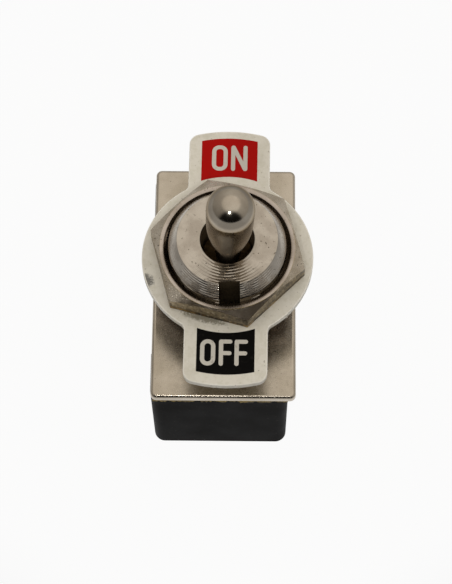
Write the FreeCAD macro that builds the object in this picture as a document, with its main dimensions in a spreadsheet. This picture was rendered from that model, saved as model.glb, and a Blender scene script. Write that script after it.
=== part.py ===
import FreeCAD, Part

import math
import os
import re

import Sketcher
from FreeCAD import Placement, Rotation, Vector

# A single-pole on-off toggle switch with a bat-handle lever, in millimetres.
# The origin is on the bushing's axis, at the top face of the steel frame's cover plate.
# +Z points out of the panel, +Y towards ON, and the lever rests at OFF, leaning to -Y.

SIZES = {
    # Steel frame: cover plate, two legs down the long sides of the base, and a foot under each leg.
    "plate_side_overhang": 0.325,
    "plate_end_overhang": 0.1,
    "sheet_thick": 0.9,
    "plate_corner": 0.6,
    "rim_round": 0.38,
    "leg_width": 15.2,
    "foot_width": 5.0,
    "foot_length": 2.4,
    # The bushing sits a little to the right of the plate's middle, and the base a little to the left.
    "bushing_shift": 0.35,
    "base_shift": 0.42,
    # Threaded bushing.
    "thread_radius": 5.93,
    "bushing_top": 10.68,
    "face_radius": 5.05,
    "chamfer_drop": 1.54,
    "mouth_radius": 2.69,
    "mouth_break": 0.12,
    "spigot_radius": 4.6,
    "staked_lip": 0.6,
    "staked_thick": 0.42,
    "bore_step": 4.8,
    "wide_bore_radius": 3.9,
    "key_width": 2.1,
    "key_root": 4.63,
    "key_start": 1.0,
    "key_turn": 2.9,
    # Lever and the pin it turns on.
    "pivot_height": 6.3,
    "pin_radius": 0.8,
    "pin_inset": 0.7,
    "pin_clearance": 0.03,
    "lean": 13.0,
    "side_lean": 1.2,
    "hub_radius": 2.55,
    "hub_band": 0.6,
    "hub_reach": 2.0,
    "neck_radius": 1.2,
    "neck_top": 6.0,
    "shoulder_height": 17.5,
    "handle_reach": 22.0,
    "tip_radius": 2.24,
    "tail_reach": 10.0,
    "tail_radius": 1.9,
    "tail_chamfer": 0.25,
    "bore_end": 3.25,
    # Plunger and its spring, in the lever's hollow tail.
    "plunger_radius": 1.2,
    "plunger_clearance": 0.07,
    "plunger_length": 3.6,
    "plunger_gap": 0.3,
    "stem_radius": 0.45,
    "stem_length": 1.4,
    "spring_wire": 0.38,
    "spring_radius": 0.88,
    "spring_turns": 4.0,
    "spring_end_gap": 0.05,
    # Nuts, lock washer and legend plate.
    "nut_flats": 14.0,
    "nut_thick": 2.47,
    "lower_nut_thick": 2.2,
    "nut_bore_gap": 0.06,
    "nut_mouth": 6.39,
    "nut_mouth_depth": 0.6,
    "nut_face_radius": 6.75,
    "top_nut_turn": 45.0,
    "lower_nut_turn": 20.0,
    "legend_top": 6.3,
    "legend_thick": 0.8,
    "legend_radius": 8.72,
    "legend_tab_width": 8.4,
    "legend_end_radius": 14.16,
    "legend_end_shift": 0.17,
    "legend_corner": 1.15,
    "legend_fillet": 0.8,
    "legend_hole_gap": 0.17,
    "legend_turn": -0.5,
    "washer_thick": 0.7,
    "washer_radius": 8.3,
    "washer_ring": 1.3,
    "washer_tooth_width": 1.3,
    "washer_tooth_gap": 0.1,
    "washer_teeth": 10.0,
    # Fibre sheet and moulded base.
    "insulator_thick": 0.5,
    "insulator_hole_gap": 0.2,
    "base_width": 14.23,
    "base_length": 25.73,
    "base_depth": 13.07,
    "base_corner": 1.15,
    "base_edge": 0.35,
    "sheet_inset": 0.25,
    "leg_gap": 0.1,
    "end_wall": 1.5,
    "side_wall": 1.32,
    "floor_thick": 1.8,
    # Terminals: formed brass strips that lie on the floor and leave through it as solder lugs.
    "strip_thick": 0.8,
    "strip_width": 3.6,
    "slot_gap": 0.05,
    "lug_reach": 7.4,
    "lug_inset": 3.365,
    "eye_radius": 1.0,
    "eye_rise": 2.2,
    "lug_corner": 1.3,
    "shank_radius": 0.6,
    "head_radius": 0.95,
    "head_thick": 0.45,
    "common_rivet_inset": 3.7,
    "load_rivet_inset": 1.4,
    "bridge_half": 1.8,
    "riser_inset": 2.8,
    "block_gap": 0.08,
    # Rocker: copper blade with a half-round rib that turns in the bridge's groove, and its insulating saddle.
    "rocker_axis_drop": 7.6,
    "rocker_tilt": 6.0,
    "arm_rise": 9.0,
    "arm_end": 1.4,
    "blade_thick": 0.5,
    "blade_width": 5.0,
    "rib_radius": 1.0,
    "groove_clearance": 0.05,
    "groove_depth": 0.35,
    "saddle_thick": 0.9,
    "saddle_length": 4.2,
    "cheek_height": 1.0,
    "cheek_thick": 0.6,
    "stop_inset": 1.3,
    "stop_length": 1.2,
    "stop_inner": 2.0,
    "stop_gap": 0.08,
    # Contacts.
    "contact_share": 0.516,
    "button_radius": 1.2,
    "button_height": 0.7,
    "button_face": 0.7,
    "button_bevel": 0.2,
    "fixed_radius": 1.3,
    "fixed_height": 0.6,
    "fixed_shank": 0.6,
    "closed_gap": 0.03,
}

# Levels and places that follow from the sizes, as formulas of the sheet's names.
BASE_TOP = "-(sheet_thick + insulator_thick)"
BASE_BOTTOM = f"({BASE_TOP} - base_depth)"
FLOOR = f"({BASE_BOTTOM} + floor_thick)"
STRIP_TOP = f"({FLOOR} + strip_thick)"
LUG_END = f"({BASE_BOTTOM} - lug_reach)"
PLATE_WIDTH = "(base_width + 2 * plate_side_overhang)"
PLATE_LENGTH = "(base_length + 2 * plate_end_overhang)"
PLATE_X = "(-bushing_shift)"
BASE_X = "(-bushing_shift - base_shift)"
WAIST = f"({PLATE_WIDTH} / 2 - sheet_thick - base_shift - leg_gap)"
CAVITY_X = f"({WAIST} - side_wall)"
CAVITY_Y = "(base_length / 2 - end_wall)"
LUG = "(base_length / 2 - lug_inset)"
RISER = f"({LUG} - riser_inset)"
COMMON_RIVET = f"({LUG} - common_rivet_inset)"
LOAD_RIVET = f"({LUG} - load_rivet_inset)"
CONTACT_PLACE = f"({LUG} * contact_share)"
ARM_LENGTH = f"({CONTACT_PLACE} + arm_end)"
SHELF_END = f"({CONTACT_PLACE} - arm_end)"
LEGEND_BOTTOM = "(legend_top - legend_thick)"
WASHER_BOTTOM = f"({LEGEND_BOTTOM} - washer_thick)"
LOWER_NUT_BOTTOM = f"({WASHER_BOTTOM} - lower_nut_thick)"
ROCKER_Z = "(-rocker_axis_drop)"
PRESSED = "(arm_rise - rocker_tilt)"
BRIDGE_TOP = f"({ROCKER_Z} - rib_radius - groove_clearance + groove_depth)"
TROUGH = "(blade_thick + saddle_thick)"
CONTACT_TOP = (
    f"({ROCKER_Z} + {CONTACT_PLACE} * sin({PRESSED}) - button_height * cos({PRESSED})"
    f" - button_face * sin({PRESSED}) - closed_gap)"
)
CONTACT_Y = f"(-{CONTACT_PLACE} * cos({PRESSED}) - button_height * sin({PRESSED}))"
SHELF_TOP = f"({CONTACT_TOP} - fixed_height)"
# How far down the lever the centre of the plunger's round nose lies, so that the nose stops the
# stated gap short of the trough when the lever rests.
NOSE = (
    f"((pivot_height + rocker_axis_drop - ({TROUGH} + plunger_radius + plunger_gap) / cos({PRESSED}))"
    f" / (cos(lean) + sin(lean) * tan({PRESSED})))"
)
PLUNGER_TOP = f"({NOSE} - plunger_length)"
TAIL_BORE = "(plunger_radius + plunger_clearance)"

doc = FreeCAD.newDocument("toggle_switch")
sheet = doc.addObject("Spreadsheet::Sheet", "Sizes")
for row, (alias, size) in enumerate(SIZES.items(), 1):
    sheet.set(f"A{row}", alias)
    sheet.set(f"B{row}", str(size))
    sheet.setAlias(f"B{row}", alias)
doc.recompute()

NAMES = re.compile(r"\b(" + "|".join(sorted(SIZES, key=len, reverse=True)) + r")\b")
NODES = []


def linked(formula):
    """The formula with each size named as the sheet's own cell."""
    return NAMES.sub(r"Sizes.\1", formula)


def value(formula):
    """The formula's number for the sizes as they stand."""
    return float(sheet.evalExpression(linked(formula)))


def bind(thing, **formulas):
    """Ties properties of an object to formulas of the sheet."""
    for name, formula in formulas.items():
        setattr(thing, name, value(formula))
        thing.setExpression(name, linked(formula))


def place(thing, x="0", y="0", z="0", axis=None, angle="0"):
    """Puts an object at a point given by formulas, turned about an axis through that point."""
    turn = Rotation(Vector(*axis), value(angle)) if axis else Rotation()
    thing.Placement = Placement(Vector(value(x), value(y), value(z)), turn)
    for way, formula in (("x", x), ("y", y), ("z", z)):
        thing.setExpression(f"Placement.Base.{way}", linked(formula))


def node(thing, name):
    """Marks an object as one physical piece, which is written to its own file."""
    thing.Label = name
    NODES.append(thing)
    return thing


def primitive(kind, name, **formulas):
    """One of the Part solids, with its sizes tied to the sheet."""
    thing = doc.addObject("Part::" + kind, name)
    bind(thing, **formulas)
    return thing


def box(name, x, y, z):
    """A box between pairs of formulas along X, Y and Z."""
    length, width, height = (f"({high}) - ({low})" for low, high in (x, y, z))
    thing = primitive("Box", name, Length=length, Width=width, Height=height)
    place(thing, x[0], y[0], z[0])
    return thing


def joined(name, pieces):
    """Several solids as one."""
    thing = doc.addObject("Part::MultiFuse", name)
    thing.Shapes = pieces
    return thing


def cut(name, base, tool):
    """One solid less another."""
    thing = doc.addObject("Part::Cut", name)
    thing.Base, thing.Tool = base, tool
    return thing


def shared(name, pieces):
    """The room that several solids share."""
    thing = doc.addObject("Part::MultiCommon", name)
    thing.Shapes = pieces
    return thing


def new_body(name):
    """A body for one piece that is drawn and padded or revolved."""
    return node(doc.addObject("PartDesign::Body", name + "_body"), name)


def origin_feature(body, role):
    """One of a body's own planes or axes."""
    return next(feature for feature in body.Origin.OriginFeatures if feature.Role == role)


def sketch_on(body, name, plane, offset="0"):
    """A sketch on one of the body's planes, lifted off it along the plane's normal."""
    sketch = body.newObject("Sketcher::SketchObject", name)
    sketch.AttachmentSupport = [(origin_feature(body, plane), "")]
    sketch.MapMode = "FlatFace"
    sketch.AttachmentOffset = Placement(Vector(0, 0, value(offset)), Rotation())
    sketch.setExpression("AttachmentOffset.Base.z", linked(offset))
    return sketch


def tie(sketch, constraint, formula):
    """Adds a constraint whose number comes from the sheet."""
    index = sketch.addConstraint(constraint)
    sketch.setExpression(f"Constraints[{index}]", linked(formula))


def outline(sketch, corners, round_sides=()):
    """A closed outline, each corner tied to the sheet in both directions. The numbered round sides
    are outward arcs about a point on the upright axis, and the others are straight."""
    first = sketch.GeometryCount
    count = len(corners)
    points = [Vector(value(x), value(y), 0) for x, y in corners]
    for i, start in enumerate(points):
        end = points[(i + 1) % count]
        if i not in round_sides:
            sketch.addGeometry(Part.LineSegment(start, end), False)
            continue
        middle, across = (start + end) / 2, Vector(start.y - end.y, end.x - start.x, 0)
        centre = middle - across * (middle.x / across.x)
        angles = [math.atan2(point.y - centre.y, point.x - centre.x) for point in (start, end)]
        ring = Part.Circle(centre, Vector(0, 0, 1), (start - centre).Length)
        arc = sketch.addGeometry(Part.ArcOfCircle(ring, *angles), False)
        sketch.addConstraint(Sketcher.Constraint("DistanceX", -1, 1, arc, 3, 0.0))
    for i, (x, y) in enumerate(corners):
        side, before = first + i, first + (i - 1) % count
        sketch.addConstraint(Sketcher.Constraint("Coincident", before, 2, side, 1))
        tie(sketch, Sketcher.Constraint("DistanceX", -1, 1, side, 1, value(x)), x)
        tie(sketch, Sketcher.Constraint("DistanceY", -1, 1, side, 1, value(y)), y)


def rectangle(sketch, x, y):
    """A rectangle between pairs of formulas."""
    outline(sketch, [(x[0], y[0]), (x[1], y[0]), (x[1], y[1]), (x[0], y[1])])


def circle(sketch, x, y, radius):
    """A circle with its centre and radius tied to the sheet."""
    ring = sketch.addGeometry(Part.Circle(Vector(value(x), value(y), 0), Vector(0, 0, 1), value(radius)), False)
    tie(sketch, Sketcher.Constraint("DistanceX", -1, 1, ring, 3, value(x)), x)
    tie(sketch, Sketcher.Constraint("DistanceY", -1, 1, ring, 3, value(y)), y)
    tie(sketch, Sketcher.Constraint("Radius", ring, value(radius)), radius)


def pad(body, sketch, length, symmetric=False, reverse=False):
    """Material along the sketch's normal."""
    feature = body.newObject("PartDesign::Pad", sketch.Name + "_pad")
    feature.Profile = sketch
    bind(feature, Length=length)
    feature.SideType = "Symmetric" if symmetric else "One side"
    feature.Reversed = reverse
    doc.recompute()
    return feature


def pocket(body, sketch, length, symmetric=False, reverse=False):
    """A cut along the sketch's normal, which has to take material away."""
    before = body.Shape.Volume
    feature = body.newObject("PartDesign::Pocket", sketch.Name + "_pocket")
    feature.Profile = sketch
    bind(feature, Length=length)
    feature.SideType = "Symmetric" if symmetric else "One side"
    feature.Reversed = reverse
    doc.recompute()
    if not body.Shape.Volume < before:
        raise RuntimeError(f"{feature.Name} cuts nothing")
    return feature


def turned(body, sketch):
    """A full turn of the sketch about its upright axis."""
    feature = body.newObject("PartDesign::Revolution", sketch.Name + "_turn")
    feature.Profile = sketch
    feature.ReferenceAxis = (sketch, ["V_Axis"])
    feature.Angle = 360
    doc.recompute()
    return feature


def edges_where(shape, test):
    """Names of the straight edges that pass a test on their direction and middle."""
    names = []
    for i, edge in enumerate(shape.Edges, 1):
        if edge.Curve.TypeId == "Part::GeomLine":
            way = edge.tangentAt(edge.FirstParameter)
            middle = edge.CenterOfMass
            if test(way, middle):
                names.append(f"Edge{i}")
    return names


def near(a, b):
    """Whether two lengths are the same to a hundredth of a millimetre."""
    return abs(a - b) < 0.01


def fillet(body, base, names, radius):
    """Rounds named edges of the body's last feature."""
    feature = body.newObject("PartDesign::Fillet", base.Name + "_fillet")
    feature.Base = (base, names)
    bind(feature, Radius=radius)
    doc.recompute()
    return feature


# Steel frame. Legs and feet are bent from the same sheet as the cover plate.
def make_steel_frame():
    body = new_body("steel_frame")
    place(body, PLATE_X)
    half, bottom = f"{PLATE_WIDTH} / 2", f"({BASE_BOTTOM} - sheet_thick)"
    legs = sketch_on(body, "legs", "XZ_Plane")
    inner = f"({half} - sheet_thick)"
    leg_end = f"({BASE_BOTTOM} + base_edge)"
    outline(legs, [
        (f"-{half}", "0"), (half, "0"), (half, leg_end), (inner, leg_end), (inner, "-sheet_thick"),
        (f"-{inner}", "-sheet_thick"), (f"-{inner}", leg_end), (f"-{half}", leg_end),
    ])
    pad(body, legs, "leg_width", symmetric=True)
    feet = sketch_on(body, "feet", "XZ_Plane")
    toe = f"({half} - foot_length)"
    outline(feet, [
        (f"-{half}", "0"), (half, "0"), (half, bottom), (toe, bottom), (toe, BASE_BOTTOM), (inner, BASE_BOTTOM),
        (inner, "-sheet_thick"), (f"-{inner}", "-sheet_thick"), (f"-{inner}", BASE_BOTTOM),
        (f"-{toe}", BASE_BOTTOM), (f"-{toe}", bottom), (f"-{half}", bottom),
    ])
    pad(body, feet, "foot_width", symmetric=True)
    plate = sketch_on(body, "plate", "XY_Plane")
    rectangle(plate, (f"-{half}", half), (f"-{PLATE_LENGTH} / 2", f"{PLATE_LENGTH} / 2"))
    last = pad(body, plate, "sheet_thick", reverse=True)
    wide, long_half = value(half), value(f"{PLATE_LENGTH} / 2")
    corners = edges_where(last.Shape, lambda way, mid: near(abs(way.z), 1) and near(abs(mid.x), wide)
                          and near(abs(mid.y), long_half))
    last = fillet(body, last, corners, "plate_corner")
    low = value(bottom)
    bends = edges_where(last.Shape, lambda way, mid: near(abs(way.y), 1) and near(abs(mid.x), wide)
                        and near(mid.z, low))
    last = fillet(body, last, bends, "sheet_thick * 0.9")
    rim = [f"Edge{i}" for i, edge in enumerate(last.Shape.Edges, 1)
           if near(edge.BoundBox.ZMin, 0) and near(edge.BoundBox.ZMax, 0)]
    fillet(body, last, rim, "rim_round")
    hole = sketch_on(body, "spigot_hole", "XY_Plane")
    circle(hole, "bushing_shift", "0", "spigot_radius")
    pocket(body, hole, "2 * sheet_thick", symmetric=True)


# Threaded bushing, turned, with a keyway down its front and a cross hole for the lever's pin.
def make_threaded_bushing():
    body = new_body("threaded_bushing")
    profile = sketch_on(body, "bushing_profile", "XZ_Plane")
    foot = "(-sheet_thick - staked_thick)"
    outline(profile, [
        ("wide_bore_radius", foot), ("spigot_radius + staked_lip", foot),
        ("spigot_radius + staked_lip", "-sheet_thick"), ("spigot_radius", "-sheet_thick"), ("spigot_radius", "0"),
        ("thread_radius", "0"), ("thread_radius", "bushing_top - chamfer_drop"), ("face_radius", "bushing_top"),
        ("mouth_radius + mouth_break", "bushing_top"), ("mouth_radius", "bushing_top - mouth_break"),
        ("mouth_radius", "bore_step"), ("wide_bore_radius", "bore_step"),
    ])
    turned(body, profile)
    keyway = sketch_on(body, "keyway", "XY_Plane", "key_start")
    keyway.AttachmentOffset = Placement(keyway.AttachmentOffset.Base, Rotation(Vector(0, 0, 1), value("key_turn")))
    rectangle(keyway, ("-key_width / 2", "key_width / 2"), ("-thread_radius - 1", "-key_root"))
    pocket(body, keyway, "bushing_top", reverse=True)
    cross = sketch_on(body, "cross_hole", "YZ_Plane")
    cross.AttachmentOffset = Placement(Vector(0, value("pivot_height"), 0), Rotation(Vector(1, 0, 0), value("side_lean")))
    cross.setExpression("AttachmentOffset.Base.y", linked("pivot_height"))
    circle(cross, "0", "0", "pin_radius")
    pocket(body, cross, "2 * thread_radius + 2", symmetric=True)


def make_lever_pin():
    reach = "(thread_radius - pin_inset)"
    pin = node(primitive("Cylinder", "pin", Radius="pin_radius", Height=f"2 * {reach}"), "lever_pin")
    place(pin, f"-{reach} * cos(side_lean)", "0", f"pivot_height + {reach} * sin(side_lean)", (0, 1, 0),
          "90 + side_lean")


# A hexagon nut with a chamfered top face. The one that shows also has a countersunk mouth.
def make_nut(name, bottom, thick, turn, countersunk):
    hexagon = doc.addObject("Part::Prism", name + "_hexagon")
    hexagon.Polygon = 6
    bind(hexagon, Circumradius="nut_flats / 2 / cos(30)", Height=thick)
    place(hexagon, "0", "0", bottom, (0, 0, 1), turn)
    bevel = primitive("Cone", name + "_bevel", Radius1=f"nut_face_radius + {thick} / tan(30)",
                      Radius2="nut_face_radius", Height=thick)
    place(bevel, "0", "0", bottom)
    blank = shared(name + "_blank", [hexagon, bevel])
    bore = primitive("Cylinder", name + "_bore", Radius="thread_radius + nut_bore_gap", Height=f"{thick} + 2")
    place(bore, "0", "0", f"{bottom} - 1")
    if not countersunk:
        return node(cut(name + "_cut", blank, bore), name)
    mouth = primitive("Cone", name + "_mouth", Radius1="thread_radius + nut_bore_gap", Radius2="nut_mouth",
                      Height="nut_mouth_depth")
    place(mouth, "0", "0", f"{bottom} + {thick} - nut_mouth_depth")
    return node(cut(name + "_cut", blank, joined(name + "_hole", [bore, mouth])), name)


# Legend plate: a round disc with a tab to each end and a round hole.
def make_legend_plate():
    disc = primitive("Cylinder", "legend_disc", Radius="legend_radius", Height="legend_thick")
    place(disc, "0", "0", LEGEND_BOTTOM)
    half = "legend_tab_width / 2"
    strip = box("legend_strip", (f"-{half}", half), ("-2 * legend_radius", "2 * legend_radius"),
                (LEGEND_BOTTOM, "legend_top"))
    ends = primitive("Cylinder", "legend_ends", Radius="legend_end_radius", Height="legend_thick")
    place(ends, "0", "legend_end_shift", LEGEND_BOTTOM)
    blank = joined("legend_blank", [disc, shared("legend_tabs", [strip, ends])])
    blank.Refine = True
    doc.recompute()
    rounded = doc.addObject("Part::Fillet", "legend_rounded")
    rounded.Base = blank
    radius = {True: value("legend_corner"), False: value("legend_fillet")}
    rounded.Edges = [
        (i, radius[abs(edge.CenterOfMass.y) > SIZES["legend_radius"] + 1],
         radius[abs(edge.CenterOfMass.y) > SIZES["legend_radius"] + 1])
        for i, edge in enumerate(blank.Shape.Edges, 1)
        if edge.Curve.TypeId == "Part::GeomLine" and near(abs(edge.tangentAt(0).z), 1)
        and near(abs(edge.CenterOfMass.x), value(half))
    ]
    hole = primitive("Cylinder", "legend_bore", Radius="thread_radius + legend_hole_gap", Height="3 * legend_thick")
    place(hole, "0", "0", f"{LEGEND_BOTTOM} - legend_thick")
    plate = node(cut("legend_cut", rounded, hole), "legend_plate")
    place(plate, "0", "0", "0", (0, 0, 1), "legend_turn")


# Lock washer: a ring with teeth pointing inwards.
def make_lock_washer():
    body = new_body("lock_washer")
    place(body, "0", "0", WASHER_BOTTOM)
    ring = sketch_on(body, "washer_ring_sketch", "XY_Plane")
    circle(ring, "0", "0", "washer_radius")
    circle(ring, "0", "0", "washer_radius - washer_ring")
    pad(body, ring, "washer_thick")
    tooth = sketch_on(body, "washer_tooth", "XY_Plane")
    root, tip = "(washer_radius - washer_ring / 2)", "(thread_radius + washer_tooth_gap)"
    outline(tooth, [
        (tip, "-washer_tooth_width / 3"), (root, "-washer_tooth_width / 2"),
        (root, "washer_tooth_width / 2"), (tip, "washer_tooth_width / 3"),
    ])
    last = pad(body, tooth, "washer_thick")
    pattern = body.newObject("PartDesign::PolarPattern", "washer_teeth_pattern")
    pattern.Originals = [last]
    pattern.Axis = (origin_feature(body, "Z_Axis"), [""])
    pattern.Angle = 360
    pattern.Occurrences = int(value("washer_teeth"))
    body.Tip = pattern


def set_on_lever(piece, depth="0"):
    """Places a piece on the lever's axis, that far below the pivot. The pin is set a little out of
    square, so the lever leans sideways as well."""
    place(piece, f"-{depth} * cos(lean) * sin(side_lean)", f"{depth} * sin(lean)",
          f"pivot_height - {depth} * cos(lean) * cos(side_lean)")
    turn = Rotation(Vector(0, 1, 0), value("side_lean")) * Rotation(Vector(1, 0, 0), value("lean"))
    piece.Placement = Placement(piece.Placement.Base, turn)


# Lever: a bat handle that swells from its neck to a round tip, a hub on the pin, and a hollow tail.
def make_toggle_lever():
    body = new_body("toggle_lever")
    set_on_lever(body)
    profile = sketch_on(body, "lever_profile", "XZ_Plane")
    shaft = [(f"tip_radius - (tip_radius - neck_radius) * {left ** 2}",
              f"shoulder_height - (shoulder_height - neck_top) * {left}") for left in (1.0, 0.65, 0.3, 0.0)]
    outline(profile, [
        ("0", "-bore_end"), (TAIL_BORE, "-bore_end"), (TAIL_BORE, "-tail_reach"),
        ("tail_radius - tail_chamfer", "-tail_reach"), ("tail_radius", "-tail_reach + tail_chamfer"),
        ("tail_radius", "-hub_reach"), ("hub_radius", "-hub_band"), ("hub_radius", "hub_band"),
        ("neck_radius", "hub_reach"), *shaft, ("tip_radius", "handle_reach"), ("0", "handle_reach + tip_radius"),
    ], round_sides=[13])
    turned(body, profile)
    cross = sketch_on(body, "lever_cross_bore", "YZ_Plane")
    circle(cross, "0", "0", "pin_radius + pin_clearance")
    pocket(body, cross, "3 * hub_radius", symmetric=True)


def make_plunger():
    body = new_body("plunger")
    set_on_lever(body)
    profile = sketch_on(body, "plunger_profile", "XZ_Plane")
    nose = [(f"plunger_radius * cos({turn})", f"-{NOSE} - plunger_radius * sin({turn})") for turn in (70, 35)]
    outline(profile, [
        ("0", nose[0][1]), *nose, ("plunger_radius", f"-{NOSE}"), ("plunger_radius", f"-{PLUNGER_TOP}"),
        ("stem_radius", f"-{PLUNGER_TOP}"), ("stem_radius", f"-{PLUNGER_TOP} + stem_length"),
        ("0", f"-{PLUNGER_TOP} + stem_length"),
    ])
    turned(body, profile)


# Coil spring between the plunger's shoulder and the end of the lever's bore.
def make_plunger_spring():
    room = f"({PLUNGER_TOP} - bore_end - 2 * spring_end_gap - spring_wire)"
    coil = doc.addObject("Part::Helix", "spring_coil")
    bind(coil, Radius="spring_radius", Pitch=f"{room} / spring_turns", Height=room)
    wire = doc.addObject("Part::RegularPolygon", "spring_section")
    wire.Polygon = 4
    bind(wire, Circumradius="spring_wire / 2")
    place(wire, "spring_radius", "0", "0", (1, 0, 0), "90")
    spring = doc.addObject("Part::Sweep", "spring_sweep")
    spring.Sections = [wire]
    spring.Spine = (coil, ["Edge1"])
    spring.Solid = True
    spring.Frenet = True
    node(spring, "plunger_spring")
    start = f"({PLUNGER_TOP} - spring_end_gap - spring_wire / 2)"
    set_on_lever(spring, start)


def make_insulator_sheet():
    half, long_half, top = "base_width / 2", "base_length / 2", "-sheet_thick"
    sheet_blank = box("sheet_blank", (f"{BASE_X} - {half} + sheet_inset", f"{BASE_X} + {half}"),
                      (f"-{long_half}", long_half), (BASE_TOP, top))
    hole = primitive("Cylinder", "sheet_hole", Radius="spigot_radius + staked_lip + insulator_hole_gap",
                     Height="3 * insulator_thick")
    place(hole, "0", "0", f"{BASE_TOP} - insulator_thick")
    leg = "(leg_width / 2 + leg_gap)"
    notches = [
        box("sheet_notch_" + side, x, (f"-{leg}", leg), (f"{BASE_TOP} - 1", f"{top} + 1"))
        for side, x in (("left", (f"{BASE_X} - {half} - 1", f"{BASE_X} - {WAIST}")),
                        ("right", (f"{BASE_X} + {WAIST}", f"{BASE_X} + {half} + 1")))
    ]
    node(cut("sheet_cut", sheet_blank, joined("sheet_openings", [hole] + notches)), "insulator_sheet")


# Moulded base: a box with a waist for the frame's legs, a contact chamber, two stops for the blade's
# idle end, a block under the contact shelf, and slots and holes through the floor for the terminals.
def make_base_housing():
    body = new_body("base_housing")
    place(body, BASE_X)
    half, long_half = "base_width / 2", "base_length / 2"
    block = sketch_on(body, "base_block", "XY_Plane", BASE_BOTTOM)
    rectangle(block, (f"-{half}", half), (f"-{long_half}", long_half))
    last = pad(body, block, "base_depth")
    upright = edges_where(last.Shape, lambda way, mid: near(abs(way.z), 1))
    last = fillet(body, last, upright, "base_corner")
    low = value(BASE_BOTTOM)
    bottom = [f"Edge{i}" for i, edge in enumerate(last.Shape.Edges, 1)
              if near(edge.BoundBox.ZMin, low) and near(edge.BoundBox.ZMax, low)]
    bevel = body.newObject("PartDesign::Chamfer", "base_bevel")
    bevel.Base = (last, bottom)
    bind(bevel, Size="base_edge")
    doc.recompute()
    leg = "(leg_width / 2 + leg_gap)"
    waist = sketch_on(body, "waist", "XY_Plane", f"{BASE_BOTTOM} - 1")
    rectangle(waist, (f"-{half} - 1", f"-{WAIST}"), (f"-{leg}", leg))
    rectangle(waist, (WAIST, f"{half} + 1"), (f"-{leg}", leg))
    pocket(body, waist, "base_depth + 2", reverse=True)
    chamber = sketch_on(body, "chamber", "XY_Plane", FLOOR)
    rectangle(chamber, (f"-{CAVITY_X}", CAVITY_X), (f"-{CAVITY_Y}", CAVITY_Y))
    pocket(body, chamber, "base_depth", reverse=True)
    stops = sketch_on(body, "stops", "XY_Plane", f"{FLOOR} - floor_thick / 2")
    near_end, far_end = f"({ARM_LENGTH} - stop_inset)", f"({ARM_LENGTH} - stop_inset + stop_length)"
    rectangle(stops, (f"-{CAVITY_X} - side_wall / 2", "-stop_inner"), (near_end, far_end))
    rectangle(stops, ("stop_inner", f"{CAVITY_X} + side_wall / 2"), (near_end, far_end))
    stop_top = f"({ROCKER_Z} + {near_end} * tan({PRESSED}) - stop_gap)"
    pad(body, stops, f"{stop_top} - {FLOOR} + floor_thick / 2")
    shelf_block = sketch_on(body, "shelf_block", "XY_Plane", f"{FLOOR} - floor_thick / 2")
    rectangle(shelf_block, ("-strip_width / 2", "strip_width / 2"),
              (f"-{RISER} + strip_thick / 2 + block_gap", f"-{SHELF_END}"))
    pad(body, shelf_block, f"{SHELF_TOP} - strip_thick - {FLOOR} + floor_thick / 2")
    slots = sketch_on(body, "slots", "XY_Plane", f"{BASE_BOTTOM} - 1")
    wide = "(strip_width / 2 + slot_gap)"
    for way in ("", "-"):
        thin = "(strip_thick / 2 + slot_gap)"
        rectangle(slots, (f"-{wide}", wide), (f"{way}{LUG} - {thin}", f"{way}{LUG} + {thin}"))
    circle(slots, "0", COMMON_RIVET, "shank_radius")
    circle(slots, "0", f"-{LOAD_RIVET}", "shank_radius")
    pocket(body, slots, "floor_thick + 1", reverse=True)


# A terminal is one strip: its outline seen along X, its width, the eye and round end of its lug,
# and its rivet hole.
def make_terminal(name, side, rivet, corners):
    body = new_body(name)
    place(body, BASE_X)
    profile = sketch_on(body, name + "_profile", "YZ_Plane")
    outline(profile, corners)
    last = pad(body, profile, "strip_width", symmetric=True)
    low = value(LUG_END)
    ends = edges_where(last.Shape, lambda way, mid: near(abs(way.y), 1) and near(mid.z, low))
    last = fillet(body, last, ends, "lug_corner")
    middle = value(f"{side}{LUG}")
    bend = edges_where(last.Shape, lambda way, mid: near(abs(way.x), 1) and near(mid.z, value(STRIP_TOP))
                       and abs(mid.y - middle) < value("strip_thick") and abs(mid.y) > abs(middle))
    fillet(body, last, bend, "strip_thick * 0.75")
    eye = sketch_on(body, name + "_eye", "XZ_Plane")
    circle(eye, "0", f"{LUG_END} + eye_rise", "eye_radius")
    pocket(body, eye, "2 * base_length", symmetric=True)
    hole = sketch_on(body, name + "_hole", "XY_Plane", f"{FLOOR} - 1")
    circle(hole, "0", rivet, "shank_radius")
    pocket(body, hole, "strip_thick + 2", reverse=True)
    return body


def make_common_terminal():
    outer, inner = f"{LUG} + strip_thick / 2", f"{LUG} - strip_thick / 2"
    under = f"({BRIDGE_TOP} - strip_thick)"
    body = make_terminal("common_terminal", "", COMMON_RIVET, [
        (outer, LUG_END), (outer, STRIP_TOP), ("bridge_half", STRIP_TOP), ("bridge_half", BRIDGE_TOP),
        ("-bridge_half", BRIDGE_TOP), ("-bridge_half", FLOOR), ("-bridge_half + strip_thick", FLOOR),
        ("-bridge_half + strip_thick", under), ("bridge_half - strip_thick", under),
        ("bridge_half - strip_thick", FLOOR), (inner, FLOOR), (inner, LUG_END),
    ])
    groove = sketch_on(body, "bridge_groove", "YZ_Plane")
    circle(groove, "0", ROCKER_Z, "rib_radius + groove_clearance")
    pocket(body, groove, "2 * strip_width", symmetric=True)


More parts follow.
